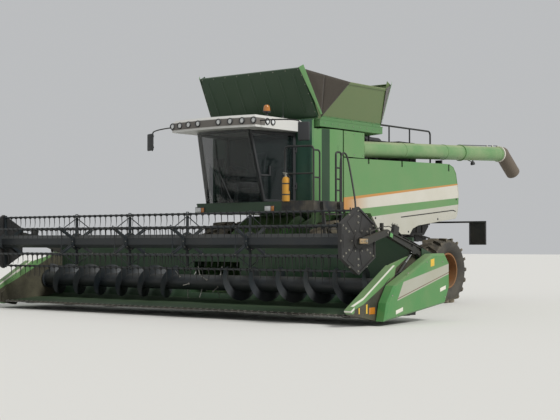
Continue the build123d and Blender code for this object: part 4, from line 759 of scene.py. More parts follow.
def addHalf(kind, outer, seam, foot, outward, end, hand):
    # one half: straight along its flap and its seam, and bellied between them
    form = bmesh.new()
    form.faces.new([form.verts.new(place) for place in (outer, seam, foot)])
    bmesh.ops.subdivide_edges(form, edges=list(form.edges), cuts=canvas["cuts"], use_grid_fill=True)
    area = (seam - outer).cross(foot - outer).length / 2
    for vert in form.verts:
        shares = [(b - vert.co).cross(c - vert.co).length / (2 * area) for b, c in ((seam, foot),
            (foot, outer), (outer, seam))]
        belly = 27 * shares[0] * shares[1] * shares[2] * min(1.0, max(0.0, shares[1] - 0.25) * 4)
        vert.co += outward * (canvas["belly"] * belly + canvas["fold"] * math.sin(9 * shares[0]
            + 4 * shares[1]) * belly)
    bmesh.ops.triangulate(form, faces=list(form.faces))
    flap = end if kind == "end" else hand
    piece = makePiece("canvas_%s_%s_%s" % (end, hand, kind), form, "canvas", "flap_" + flap,
        "tank_canvas", 60)
    thick = piece.modifiers.new("thickness", "SOLIDIFY")
    thick.thickness = canvas["thick"]
    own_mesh(piece)


for way, end in ((-1, "front"), (1, "rear")):
    strips = bmesh.new()
    for side, hand in hands:
        top, outer, foot = canvasEnds(side, way)
        seam = (top + outer) / 2
        normal = (outer - top).cross(foot - top).normalized()
        outward = normal if normal.x * side > 0 else -normal
        addHalf("end", top, seam, foot, outward, end, hand)
        addHalf("side", outer, seam, foot, outward, end, hand)
        along = (top - foot).normalized()
        across = ((outer - foot) - along * (outer - foot).dot(along)).normalized()
        base = Vector((0, backY, 0)) + outward * canvas["stripOut"]
        low = foot + along * canvas["stripFoot"][0] + base
        addPlate(strips, [low, top + base, top + across * canvas["stripHead"] + base,
            low + across * canvas["stripFoot"][1]], outward * 0.004, 0.0015)
    makePiece("end_flap_%s_edges" % end, strips, "sideGreen", "flap_" + end)
print("canvas corners")

# engine: block with rocker covers, manifolds, charger, filters, pulleys and belt, on its four feet
engine = {"block": (-0.42, 5.78, 0.32, 6.62), "deck": 3.08, "covers": 6, "coverPitch": 0.135, "pulleyY": 5.74,
    "silencer": (-0.75, 3.56, 0.112),
    "cleaner": (0.70, 6.0, 3.60)}
form = bmesh.new()
x0, y0, x1, y1 = engine["block"]
deck = engine["deck"]
onDeck = deck + 0.0003
addEach(addBlock, form, ((x0, y0, deck + 0.02), (x1, y1, 3.5), 0.02), ((x0 - 0.05, y0 + 0.03, onDeck),
    (x1 + 0.05, y1 - 0.03, 3.2), 0.03))
for k in range(engine["covers"]):
    y = y0 + 0.03 + k * engine["coverPitch"]
    addEach(addBlock, form, ((-0.28, y, 3.49), (0.20, y + 0.115, 3.60), 0.02), ((-0.20, y + 0.02, 3.595),
        (0.12, y + 0.095, 3.645), 0.018))
    addEach(addBar, form, ((0.28, y + 0.057, 3.44), (0.46, y + 0.057, 3.38), 0.032, 14),
        ((-0.38, y + 0.057, 3.44), (-0.56, y + 0.057, 3.40), 0.03, 14))
addBlock(form, (0.42, y0 + 0.02, 3.29), (0.56, y1 - 0.04, 3.44), 0.04)
for k in range(4):
    x, y = x0 - 0.09 + (k % 2) * 0.82, y0 + 0.05 + (k // 2) * 0.62
    addBlock(form, (x, y, onDeck), (x + 0.11, y + 0.12, 3.16), 0.01)
makePiece("engine_block", form, "engine", stands="engine")
form = bmesh.new()
along = (0, 1, 0)
addBar(form, (-0.56, y0 + 0.04, 3.40), (-0.56, y1 - 0.06, 3.40), 0.048, 18)
for y, r in ((6.62, 0.12), (6.70, 0.10)):
    addTurned(form, [(0.0, -0.05), (r * 0.6, -0.05), (r, -0.02), (r, 0.02), (r * 0.6, 0.05), (0.0, 0.05)],
        (-0.54, y, 3.42), along, 28)
x, z, r = engine["silencer"]
addBar(form, (x, 5.80, z), (x, 6.50, z), r, 28)
for y in (5.795, 6.03, 6.27, 6.485):
    addTurned(form, [(r, -0.012), (0.12, -0.012), (0.12, 0.012), (r, 0.012), (r, -0.012)], (x, y, z), along,
        28)
addTurned(form, [(0.0, 0.0), (0.07, 0.0), (r, 0.05)], (x, 5.75, z), along, 28)
addTurned(form, [(0.050, 3.6), (0.052, 4.0), (0.058, 4.03), (0.052, 4.05), (0.048, 4.05), (0.046, 3.6)],
    (x, 6.35, 0), up, 24)
addEach(addBlock, form, *[((x - 0.05, y, onDeck), (x + 0.05, y + 0.05, 3.48), 0.006) for y in (5.85, 6.40)])
makePiece("exhaust_silencer", form, "rust", stands="engine")
form = bmesh.new()
pulleyY = engine["pulleyY"]
for x, z, r in ((-0.05, 3.2, 0.11), (-0.25, 3.42, 0.06), (0.18, 3.42, 0.07), (0.3, 3.22, 0.05)):
    addTurned(form, [(0.0, -0.03), (r * 0.5, -0.03), (r * 0.55, -0.012), (r * 0.9, -0.012), (r, -0.025),
        (r, -0.018), (r * 0.93, 0.0), (r, 0.018),
        (r, 0.025), (0.0, 0.025)], (x, pulleyY, z), along, 30)
for y in (6.0, 6.25):
    addEach(addBar, form, ((0.60, y, 3.30), (0.60, y, 3.12), 0.048, 20), ((0.60, y, 3.33), (0.60, y, 3.29),
        0.055, 20))
makePiece("engine_pulleys_and_filters", form, "black", stands="engine")
beltRun = ((-0.16, 3.2), (-0.25, 3.36), (-0.25, 3.47), (-0.2, 3.485), (0.18, 3.49), (0.25, 3.44),
    (0.35, 3.24), (0.33, 3.17), (0.0, 3.09), (-0.1, 3.09), (-0.16, 3.2))
makePipes("fan_belt", [[(x, pulleyY, z) for x, z in beltRun]], 0.009, "belt")
form = bmesh.new()
x, y, z = engine["cleaner"]
addTurned(form, [(0.0, -0.345), (0.09, -0.345), (0.1, -0.33), (0.148, -0.33), (0.148, -0.30), (0.14, -0.29),
    (0.14, 0.0), (0.144, 0.004),
    (0.144, 0.02), (0.14, 0.024), (0.14, 0.30), (0.10, 0.345), (0.0, 0.345)], (x, y, z), along, 36)
addTurned(form, [(0.062, 3.7), (0.062, 3.86), (0.10, 3.88), (0.10, 3.93), (0.085, 3.95), (0.0, 3.955)],
    (x, 5.90, 0), up, 26)
addEach(addBlock, form, *[((0.64, y, onDeck), (0.76, y + 0.05, 3.5), 0.006) for y in (5.75, 6.20)])
addEach(addBlock, form, *[((cx - 0.012, 5.69, cz - 0.012), (cx + 0.012, 5.76, cz + 0.012), 0.003) for cx,
    cz in ring(4, 0.148, x, z, 0.4)])
makePiece("air_cleaner", form, "trim", "root", "engine")
makePipes("charge_pipes", [[(0.70, 6.34, 3.60), (0.70, 6.5, 3.62), (0.5, 6.66, 3.62), (0.1, 6.72, 3.58),
    (-0.3, 6.71, 3.5), (-0.50, 6.7, 3.44)],
    [(0.49, 6.55, 3.40), (0.49, 6.66, 3.40), (0.49, 6.78, 3.40), (0.49, 6.86, 3.38)],
    [(-0.56, 6.5, 3.40), (-0.62, 6.56, 3.46), (-0.72, 6.55, 3.52), (-0.75, 6.5, 3.56)]], 0.042, "hose")

# cooling box: round dust screen with its spokes and rings, fins behind open rails, lid hinges and catches
cooler = {"centre": (-1.012, 7.20, 3.40), "radius": 0.262, "spokes": 6, "fins": 30, "finPitch": 0.0593}
form, fins, ribs = newForms(3)
r, centre, outward = cooler["radius"], cooler["centre"], (-1, 0, 0)
x, y, z = centre
addTurned(form, [(r - 0.03, 0.0), (r - 0.03, 0.012), (r + 0.012, 0.012), (r + 0.012, -0.03)], centre, outward,
    48)
addEach(addBar, form, *[((x - 0.006, y, z), (x - 0.006, cy, cz), 0.006, 6) for cy,
    cz in ring(cooler["spokes"], r - 0.02, y, z)])
for k in range(1, 7):
    low, high = r * k / 7 - 0.0015, r * k / 7 + 0.0015
    addTurned(form, [(low, 0.002), (high, 0.002), (high, 0.006), (low, 0.006), (low, 0.002)], centre, outward,
        40)
addTurned(form, [(0.0, 0.022), (0.035, 0.02), (0.045, 0.0)], centre, outward, 24)
makePiece("dust_screen", form, "nut")
addEach(addBlock, fins, *[((x, 7.549, 3.13), (x + 0.006, 7.562, 3.64)) for x in [-0.86
    + k * cooler["finPitch"] for k in range(cooler["fins"])]])
for x in (-0.7, 0.0, 0.7):
    addEach(addBlock, fins, ((x - 0.05, 6.835, 3.66), (x + 0.05, 6.88, 3.69), 0.004),
        ((x - 0.03, 7.545, 3.655), (x + 0.03, 7.575, 3.70), 0.006))
addBlock(fins, (-0.93, 6.87, 3.675), (0.93, 7.53, 3.69), 0.005)
makePiece("cooler_fins_and_lid", fins, "black")
addEach(addBlock, ribs, *[((-1.25 + 0.22 * k, 7.62, onDeck), (-1.23 + 0.22 * k, 8.38, deck + 0.018), 0.003)
    for k in range(12)])
addBlock(ribs, (-1.3, 5.45, onDeck), (-1.0, 6.6, deck + 0.12), 0.02)
addTurned(ribs, [(0.0, 0.1), (0.055, 0.1), (0.055, 0.15), (0.06, 0.155), (0.06, 0.18), (0.0, 0.185)],
    (-1.15, 5.7, deck), up, 24)
makePiece("deck_ribs_and_tank_lid", ribs, "trim", "root")
print("engine deck")

# unloader: clamp bands, joint bolts, work lamp under the tube, its cable pipe and the pipe along the top
tube = {"x": 1.28, "y0": 4.10, "z0": 3.33, "slope": 0.29 / 6.85, "radius": 0.175, "bands": (4.74, 6.4, 8.2,
    10.86), "lampY": 9.618, "ringY": 10.905}
along, r = (0, 1, tube["slope"]), tube["radius"]


def onTube(y, across=0.0, rise=0.0):
    # a place on the tube's middle line, or off it
    return tube["x"] + across, y, tube["z0"] + tube["slope"] * (y - tube["y0"]) + rise


form, lamp, lens, endRing, bolts = newForms(5)
for y in tube["bands"]:
    addTurned(form, [(r - 0.004, -0.02), (r + 0.006, -0.02), (r + 0.008, -0.01), (r + 0.008, 0.01),
        (r + 0.006, 0.02), (r - 0.004, 0.02)],
        onTube(y), along, 44)
addEach(addBar, form, *[(onTube(8.968, dx, dz), onTube(9.022, dx, dz), 0.008, 6) for dx, dz in ring(8,
    r + 0.014, 0, 0, 0.2)])
makePiece("unloader_bands", form, "tube", "unloader")
y, ahead = tube["lampY"], (0, 0.35, -1)
addBar(lamp, onTube(y, 0, 0.01 - r), onTube(y, 0, -0.04 - r), 0.012, 10)
addTurned(lamp, [(0.0, -0.05), (0.035, -0.045), (0.05, -0.02), (0.056, 0.01), (0.056, 0.03), (0.05, 0.03),
    (0.046, 0.02)],
    onTube(y, 0, -0.075 - r), ahead, 24)
makePiece("unloader_lamp", lamp, "trim", "unloader")
addTurned(lens, [(0.047, 0.018), (0.03, 0.026), (0.0, 0.03)], onTube(y, 0, -0.075 - r), ahead, 24)
makePiece("unloader_lamp_lens", lens, "clearLens", "unloader")
x, _, low = onTube(y, 0, -r)
makePipes("unloader_top_pipe", [[onTube(9.05, 0, r + 0.012), onTube(10.2, 0.01, r + 0.022), onTube(10.9, 0,
    r + 0.03)],
    [(x - 0.02, y, low - 0.035), (x - 0.09, y - 0.1, low + 0.01), (x - 0.11, y - 0.3, low + 0.028),
    onTube(9.03, -0.11, 0.03 - r)]], 0.008, "hose", "unloader")
for y in [10.3 + 0.28 * k for k in range(3)]:
    x, _, z = onTube(y, 0, r)
    addBlock(endRing, (x - 0.02, y, z - 0.004), (x + 0.02, y + 0.03, z + 0.034), 0.004)
addTurned(endRing, [(0.178, 0.0), (0.2, 0.0), (0.202, 0.03), (0.185, 0.05), (0.178, 0.05)],
    onTube(tube["ringY"]), along, 44)
makePiece("unloader_end_ring", endRing, "plate", "unloader")
addEach(addPin, bolts, *[(1.498, 1.507, y, z, 0.012, 6) for z in (3.2, 3.63) for y in (3.95, 4.27, 4.59)])
makePiece("unloader_cover_bolts", bolts, "nut", "unloader")
print("unloader")

# seat: two pads swollen by a short cloth run, then sewn in three channels
pads = {"seat_base_pad": ((-0.25, 2.41, 2.486), (0.25, 2.83, 2.592), 0.0), "seat_back_pad": ((-0.24, 2.79,
    2.63), (0.24, 2.885, 3.24), -8.0)}
swell = {"voxel": 0.006, "pressure": 4.0, "quality": 4, "frames": 20, "push": 0.022, "ease": 0.03,
    "half": 0.245, "groove": 0.010}


def evaluated(body):
    # the body's mesh with its modifiers applied and taken off
    graph = bpy.context.evaluated_depsgraph_get()
    mesh = bpy.data.meshes.new_from_object(body.evaluated_get(graph), depsgraph=graph)
    body.modifiers.clear()
    return mesh


def swollen(form, name):
    # inflate a closed form as cloth, gravity off, and keep each point within its cap
    mesh = bpy.data.meshes.new(name)
    form.to_mesh(mesh)
    form.free()
    body = bpy.data.objects.new(name, mesh)
    scene.collection.objects.link(body)
    remesh = body.modifiers.new("even", "REMESH")
    remesh.mode = "VOXEL"
    remesh.voxel_size = swell["voxel"]
    body.data = evaluated(body)
    rest = [vert.co.copy() for vert in body.data.vertices]
    cloth = body.modifiers.new("swell", "CLOTH")
    cloth.settings.use_pressure = True
    cloth.settings.uniform_pressure_force = swell["pressure"]
    cloth.settings.effector_weights.gravity = 0.0
    cloth.settings.quality = swell["quality"]
    cloth.point_cache.frame_start = 1
    cloth.point_cache.frame_end = swell["frames"]
    for step in range(1, swell["frames"] + 1):
        scene.frame_set(step)
    blown = evaluated(body)
    for vert, start in zip(blown.vertices, rest):
        move = vert.co - start
        if move.length > swell["push"]:
            vert.co = start + move.normalized() * swell["push"]
    body.data = blown
    scene.frame_set(1)
    return body


for name, (low, high, lean) in pads.items():
    form = bmesh.new()
    addBlock(form, low, high, swell["ease"])
    if lean:
        bmesh.ops.rotate(form, cent=at(0, high[1], low[2]), matrix=Matrix.Rotation(math.radians(lean), 3,
            "X"), verts=form.verts)
    pad = swollen(form, name)
    middle = sum((vert.co for vert in pad.data.vertices), Vector()) / len(pad.data.vertices)
    for vert in pad.data.vertices:
        # three sewn channels across the middle of the pad, as shallow soft valleys
        if abs(vert.co.x) > swell["half"]:
            continue
        run = (vert.co.z - middle.z) if lean else (vert.co.y - middle.y)
        for k in (-1, 0, 1):
            gap = run - k * (0.15 if lean else 0.10)
            depth = swell["groove"] * math.exp(-(gap / swell["groove"]) ** 2)
            vert.co += (middle - vert.co).normalized() * depth
    pad.data.shade_smooth()
    pad.data.materials.clear()
    pad.data.materials.append(mats["seat"])
    smoothed = pad.modifiers.new("round", "SUBSURF")
    smoothed.levels = smoothed.render_levels = 1
    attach(pad, "root")
    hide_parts("seat_cushion")
print("seat")

# header: knife guards and clips, ribs on the back wall and skids under the table
knife = {"reach": 4.495, "pitch": 0.0762, "y": 0.13, "z": 0.155, "clips": 60}
form, clips, ribs, skids = newForms(4)
y, z, count = knife["y"], knife["z"], int(2 * knife["reach"] / knife["pitch"])
for k in range(count + 1):
    x = -count * knife["pitch"] / 2 + k * knife["pitch"]
    addBar(form, (x, y, z), (x, -0.045, z + 0.008), 0.017, 6, 0.004)
    addBlock(form, (x - 0.02, y - 0.02, z - 0.022), (x + 0.02, y + 0.03, z + 0.012))
makePiece("knife_guards", form, "black", "header", soften=50)
for k in range(knife["clips"]):
    x = -4.49 + k * 2 * knife["pitch"]
    addBlock(clips, (x - 0.025, 0.07, 0.161), (x + 0.025, 0.12, 0.172))
    addBar(clips, (x, 0.10, 0.17), (x, 0.10, 0.182), 0.009, 6)
makePiece("knife_clips", clips, "nut", "header", soften=50)
for x in [-4.5 + 0.75 * k for k in range(13) if abs(k - 6) > 1]:
    addEach(addBlock, ribs, ((x - 0.02, 1.70, 0.42), (x + 0.02, 1.745, 1.12), 0.004),
        ((x - 0.055, 1.70, 1.28), (x + 0.055, 1.708, 1.44), 0.004))
for side, hand in hands:
    addSide(side, addBlock, ribs, ((0.75, 1.6495, 1.448), (4.55, 1.72, 1.462), 0.003))
# the back wall's ribs face forward into shade and wear the green darkened as painted shade
makePiece("header_back_ribs", ribs, "paintedShadeGreen", "header")
for x in (-4.1, -2.9, -1.7, 1.7, 2.9, 4.1):
    addPlate(skids, [(x - 0.09, y, z) for y, z in ((0.25, 0.128), (0.36, 0.104), (1.25, 0.104),
        (1.35, 0.128))], (0.18, 0, 0))
makePiece("header_skids", skids, "bare", "header")

# intake auger: tube with end flanges, wound flights that feed to the middle, and fingers between them
auger = {"y": 1.25, "z": 0.60, "tube": 0.15, "flight": 0.328, "reach": 4.545, "inner": 0.66, "pitch": 0.64,
    "steps": 24,
    "fingers": 14, "fingerX": -0.60, "fingerPitch": 0.0923, "fingerTurn": 2.4}
form, fingers = newForms(2)
y, z, r, end = [auger[key] for key in ("y", "z", "tube", "reach")]
addTurned(form, [(0.0, -end), (0.04, -end), (r, -end), (r, end), (0.04, end), (0.0, end)], (0, y, z),
    (1, 0, 0), 40)
turns = int((auger["reach"] - auger["inner"]) / auger["pitch"])
for side, hand in hands:
    addTurned(form, [(r - 0.002, 0), (r + 0.05, 0), (r + 0.05, 0.012), (r - 0.002, 0.012)], (side * 4.52, y,
        z), (side, 0, 0), 40)
    addPin(form, side * 4.53, side * 4.58, y, z, 0.04, 20)
    start = [form.verts.new(at(side * end * 0.99, y, z + reach)) for reach in (r - 0.004, auger["flight"])]
    addFlight(form, start, at(0, y, z), (1, 0, 0), -side * auger["pitch"], turns, auger["steps"], -1)
makePiece("intake_auger_flights", form, "reel", "auger", "intake_auger", 50)
for k in range(auger["fingers"]):
    out = Vector((0, math.cos(k * auger["fingerTurn"]), math.sin(k * auger["fingerTurn"])))
    foot = Vector((auger["fingerX"] + auger["fingerPitch"] * k, y, z)) + out * (r - 0.01)
    addEach(addBar, fingers, (foot, foot + out * 0.185, 0.008, 8), (foot, foot + out * 0.018, 0.02, 10))
makePiece("auger_fingers", fingers, "bare", "auger", "intake_auger")
print("header table")

# tined bars: round tube, a clip and a slim bent finger at each station
tines = {"circle": 0.50, "axis": 1.40, "reach": 4.47, "pitch": 0.15, "count": 58, "tube": 0.018,
    "finger": 0.185}
for k in range(6):
    turn, body = k * math.tau / 6, "tine_bar_%d" % (k + 1)
    y, z = tines["circle"] * math.sin(turn), tines["axis"] + tines["circle"] * math.cos(turn)
    form, fingers = newForms(2)
    addPin(form, -tines["reach"], tines["reach"], y, z, tines["tube"], 14)
    addEach(addPin, form, *[(side * 4.44, side * 4.495, y, z, 0.026, 18) for side in (1, -1)])
    makePiece("tine_tube_%d" % (k + 1), form, "reel", body, body)
    for j in range(tines["count"]):
        x = (j - (tines["count"] - 1) / 2) * tines["pitch"]
        addBlock(fingers, (x - 0.013, y - 0.024, z - 0.030), (x + 0.013, y + 0.022, z + 0.022))
        addEach(addBar, fingers, ((x, y, z - 0.024), (x, y + 0.008, z - 0.12), 0.009, 6, 0.007),
            ((x, y + 0.008, z - 0.119), (x, y - 0.004, z - 0.026 - tines["finger"]), 0.007, 6, 0.0035))
    makePiece("tine_fingers_%d" % (k + 1), fingers, "plastic", body, body, 50)

# reel: flanges and bolts at the spiders, stiffened spider arms, dressed hexagon shields
spider = {"x": (-2.257, -0.757, 0.743, 2.243), "bolts": 8, "boltCircle": 0.148, "arms": 6, "foot": 0.16,
    "head": 0.45, "tie": 0.46, "pin": 0.47}
axisZ = tines["axis"]


def around(x, turn, radius):
    # a place on a circle about the reel's axis, counted from the top
    return Vector((x, radius * math.sin(turn), axisZ + radius * math.cos(turn)))


form, nuts = newForms(2)
for x in spider["x"]:
    addTurned(form, [(0.11, -0.02), (0.165, -0.02), (0.165, 0.034), (0.11, 0.034)], (x, 0, axisZ), (1, 0, 0),
        32)
    addEach(addPin, nuts, *[(x - 0.03, x + 0.046, cy, cz, 0.009, 6) for cy, cz in ring(spider["bolts"],
        spider["boltCircle"], 0, axisZ)])
    hub = x + 0.007
    for turn in [k * math.tau / spider["arms"] for k in range(spider["arms"])]:
        addBar(form, around(hub, turn, spider["foot"]), around(hub, turn, spider["head"]), 0.013, 8)
        addBar(form, around(hub, turn, spider["tie"]), around(hub, turn + math.tau / spider["arms"],
            spider["tie"]), 0.010, 6)
        addBar(nuts, around(hub - 0.014, turn, spider["pin"]), around(hub + 0.014, turn, spider["pin"]),
            0.011, 6)
makePiece("reel_spider_braces", form, "reel", "reel")
makePiece("reel_bolts", nuts, "nut", "reel")
shield = {"radius": 0.56, "edge": 0.035, "outer": 4.555, "rim": 0.018, "pads": ((0.16, -0.30), (0.16, 0.30),
    (0.44, 0.26), (0.44, -0.26)),
    "cornerBolts": (0.50, 0.40, 0.30), "padBolts": (0.485, 0.19)}
form, nuts = newForms(2)
for side, hand in hands:
    x = side * shield["outer"]
    for k in range(6):
        a, b = k * math.tau / 6, (k + 1) * math.tau / 6
        middle, inner = (a + b) / 2, shield["radius"] - shield["edge"]
        addPlate(form, [around(x, a, shield["radius"]), around(x, b, shield["radius"]), around(x, b, inner),
            around(x, a, inner)], (side * shield["rim"], 0, 0))
        addPlate(form, [around(x, middle + turn, radius) for radius, turn in shield["pads"]], (side * 0.007,
            0, 0), 0.003)
        for radius, turn in [(radius, a) for radius in shield["cornerBolts"]] + [(radius, middle)
                for radius in shield["padBolts"]]:
            _, cy, cz = around(x, turn, radius)
            addEach(addPin, nuts, (x, x + side * 0.018, cy, cz, 0.012, 6), (x, x + side * 0.006, cy, cz,
                0.019, 14))
    addTurned(form, [(0.034, 0.0), (0.13, 0.0), (0.13, 0.016), (0.07, 0.022), (0.06, 0.045), (0.034, 0.045)],
        (x, 0, axisZ), (side, 0, 0), 30)
makePiece("hex_shield_frames", form, "shield", "reel")
makePiece("hex_shield_bolts", nuts, "nut", "reel")
print("reel")

# reel arms: bearing block, steering rod and post, valve block with its pipes, on both sides
arm = {"tilt": -16, "pipeX": (4.64, 0.018), "pipes": ((1.12, 1.49), (1.36, 1.42), (1.62, 1.345), (1.84, 1.27),
    (1.96, 1.22)),
    "clips": ((1.10, 1.47), (1.35, 1.40), (1.60, 1.325))}
form, tan, nuts, clip = newForms(4)
tilt = leant(math.radians(arm["tilt"]))
pipes = [[(x, 1.01, 1.55 + 0.01 * k)] + [(x, y, z) for y, z in arm["pipes"]] for k,
    x in enumerate([arm["pipeX"][0] + arm["pipeX"][1] * k for k in range(3)])]
pipes += [[(4.66, 0.88, 1.60), (4.66, 0.78, 1.66), (4.66, 0.66, 1.63), (4.66, 0.57, 1.65)],
    [(4.645, 0.20, 1.47), (4.64, 0.30, 1.52), (4.64, 0.50, 1.545), (4.635, 0.72, 1.56), (4.635, 0.87, 1.56)]]
for side, hand in hands:
    addSide(side, addBlock, tan, ((4.695, -0.17, 1.355), (4.722, 0.05, 1.435), 0.008))
    for near, far, y, z, radius, sides in ((4.71, 4.735, 0.0, 1.40, 0.026, 6), (4.718, 4.734, -0.13, 1.395,
            0.011, 6), (4.718, 4.734, -0.06, 1.395, 0.011, 6),
            (4.69, 4.716, 1.90, 1.15, 0.034, 6), (4.695, 4.712, 0.66, 1.54, 0.02, 6)):
        addPin(nuts, side * near, side * far, y, z, radius, sides)
    addSide(side, addBar, form, ((4.66, 0.20, 1.555), (4.66, 0.555, 1.634), 0.012, 10), ((4.66, 0.20, 1.46),
        (4.66, 0.20, 1.57), 0.014, 10))
    addSide(side, addBlock, form, ((4.63, 0.52, 1.575), (4.69, 0.56, 1.70), 0.006), ((4.625, 0.87, 1.49),
        (4.695, 1.02, 1.66), 0.01, tilt),
        *[((4.628, y, z - 0.035), (4.692, y + 0.03, z + 0.02), 0.004, tilt) for y, z in arm["clips"]])
    addSide(side, addBlock, nuts, ((4.62, 0.885, 1.655), (4.70, 1.005, 1.672), 0.004, tilt))
    addSide(side, addBar, nuts, *[((4.64 + 0.02 * k, y, z), (4.64 + 0.02 * k, y + 0.008, z + 0.04), 0.010, 8)
        for k, y, z in
        [(k, 0.90 + 0.04 * k, 1.668 - 0.011 * k) for k in range(3)]])
    addSide(side, addBlock, clip, ((4.702, 0.72, 1.46), (4.716, 0.80, 1.53), 0.004, tilt))
    makePipes("arm_pipes_" + hand, flip(pipes, side), 0.0075, "hose", "reel_lift")
makePiece("arm_fittings", form, "black", "reel_lift")
makePiece("arm_bearing_blocks", tan, "tan", "reel_lift")
makePiece("arm_nuts", nuts, "nut", "reel_lift")
makePiece("arm_green_clips", clip, "headerGreen", "reel_lift")

# shields and dividers: blank reflectors and plates, drive case, pulleys and hoses between divider and shield
strips = {"skin": 4.949, "thick": 0.004, "ease": 0.0015, "yellow": [(1.62, 0.955), (1.74, 0.975),
    (1.74, 1.10), (1.62, 1.08)],
    "white": ([(0.52, 0.185), (0.735, 0.235), (0.735, 0.30), (0.52, 0.25)], [(1.93, 0.515), (2.12, 0.56),
    (2.12, 0.625), (1.93, 0.58)]),
    "orange": [(0.05, 0.20), (0.22, 0.20), (0.22, 0.31), (0.05, 0.31)], "orangeX": 4.735}
driveHoses = [[(4.72, 1.25, 0.75), (4.735, 1.36, 0.95), (4.73, 1.55, 1.02), (4.70, 1.7, 0.98)],
    [(4.69, 0.75, 0.38), (4.72, 0.86, 0.52), (4.73, 0.95, 0.62)],
    [(4.70, 0.50, 0.40), (4.73, 0.42, 0.56), (4.725, 0.60, 0.76), (4.72, 0.95, 0.86), (4.72, 1.25, 0.92)]]
form, white, yellow, amber, nuts = newForms(5)
for side, hand in hands:
    for target, x, outline in [(white, strips["skin"], outline) for outline in strips["white"]] + [(yellow,
            strips["skin"], strips["yellow"]),
            (amber, strips["orangeX"], strips["orange"])]:
        addPlate(target, [(side * x, y, z) for y, z in outline], (side * strips["thick"], 0, 0),
            strips["ease"])
    addSide(side, addPlate, yellow, ([(4.7025, -0.20, 0.215), (4.7375, 0.0, 0.215), (4.7375, 0.0, 0.37),
        (4.7025, -0.20, 0.31)], (0.003, 0, 0)))
    addSide(side, addBlock, form, ((4.605, 0.92, 0.42), (4.735, 1.30, 0.80), 0.03), ((4.605, 0.45, 0.20),
        (4.70, 0.80, 0.42), 0.03),
        ((4.602, 0.30, 0.12), (4.66, 1.60, 0.17), 0.006))
    for y, z, r in ((1.50, 0.62, 0.15), (0.62, 0.31, 0.09), (1.10, 0.60, 0.12)):
        addTurned(form, [(0.0, 0.06), (r * 0.5, 0.06), (r * 0.5, 0.075), (r * 0.92, 0.08), (r, 0.085),
            (r * 0.9, 0.097), (r, 0.11), (r * 0.92, 0.115),
            (r * 0.4, 0.12), (0.0, 0.12)], (side * 4.62, y, z), (side, 0, 0), 30)
    addEach(addPin, nuts, *[(side * 4.733, side * 4.742, cy, cz, 0.009, 6) for cy, cz in ring(8, 0.15, 1.11,
        0.61)],
        *[(side * 4.947, side * 4.954, y, z, 0.013, 14) for y, z in ((0.42, 0.50), (0.9, 0.86), (1.5, 1.04),
        (2.02, 1.04), (2.1, 0.42), (0.55, 0.155))])
    makePipes("drive_hoses_" + hand, flip(driveHoses, side), 0.012, "hose", "header")
makePiece("header_drives", form, "black", "header")
makePiece("shield_reflectors", white, "plate", "header")
makePiece("shield_yellow_plates", yellow, "yellow", "header")
makePiece("divider_amber_reflectors", amber, "amberLens", "header")
makePiece("header_side_bolts", nuts, "nut", "header")
print("header sides")

# hull under the panels: drive pulleys with their belts, final drive bolts, ribs on the hull and the feeder
# house
drives = [((4.75, 1.62), 0.30, (5.65, 1.45), 0.20), ((5.65, 1.45), 0.13, (6.55, 1.70), 0.24),
    ((6.2, 2.2), 0.16, (7.35, 2.15), 0.22)]
hull = {"wall": 0.70, "hood": 0.762, "hoodFrom": 6.9, "layer": 0.03}
form, belts, ribs, feeder = newForms(4)
for side, hand in hands:
    for k, (a, ra, b, rb) in enumerate(drives):
        for (y, z), r in ((a, ra), (b, rb)):
            foot = hull["hood"] if y > hull["hoodFrom"] else hull["wall"]
            face = hull["wall"] + hull["layer"] * k - foot
            addTurned(form, [(0.0, -0.002), (0.05, -0.002)] + [(radius, face + out) for radius, out in
                ((0.05, 0.068), (r * 0.85, 0.074), (r, 0.07), (r - 0.015, 0.084), (r, 0.098),
                (r * 0.82, 0.095), (r * 0.3, 0.082), (0.0, 0.082))],
                (side * foot, y, z), (side, 0, 0), 36)
        x = side * (0.784 + hull["layer"] * k)
        normal = Vector((0, a[1] - b[1], b[0] - a[0])).normalized()
        addEach(addBar, belts, *[(Vector((x, *a)) + normal * way * (ra - 0.006), Vector((x, *b))
            + normal * way * (rb - 0.006), 0.010, 6) for way in (1, -1)])
    addEach(addPin, form, *[(side * 0.898, side * 0.915, y, z, 0.014, 6) for y, z in ring(12, 0.235, 3.87,
        0.92)])
    addSide(side, addBlock, ribs, *[((0.6995, y, 1.27), (0.708, y + 0.05, 2.6), 0.003) for y in (3.95, 4.6,
        5.25, 5.9, 6.5, 6.85)],
        *[((0.6995, 3.85, z), (0.716, 6.89, z + 0.05), 0.003) for z in (1.25, 2.02, 2.56)])
    addSide(side, addBlock, feeder, *[((0.649, y, 0.41 + (y - 2.02) * 0.6757), (0.664, y + 0.045,
        1.01 + (y - 2.02) * 0.648), 0.003) for y in (2.12, 2.5, 2.88, 3.22)])
makePiece("side_drive_pulleys", form, "black")
makePiece("side_drive_belts", belts, "belt")
makePiece("hull_ribs", ribs, "sideGreen")
makePiece("feeder_ribs", feeder, "sideGreen", "header")

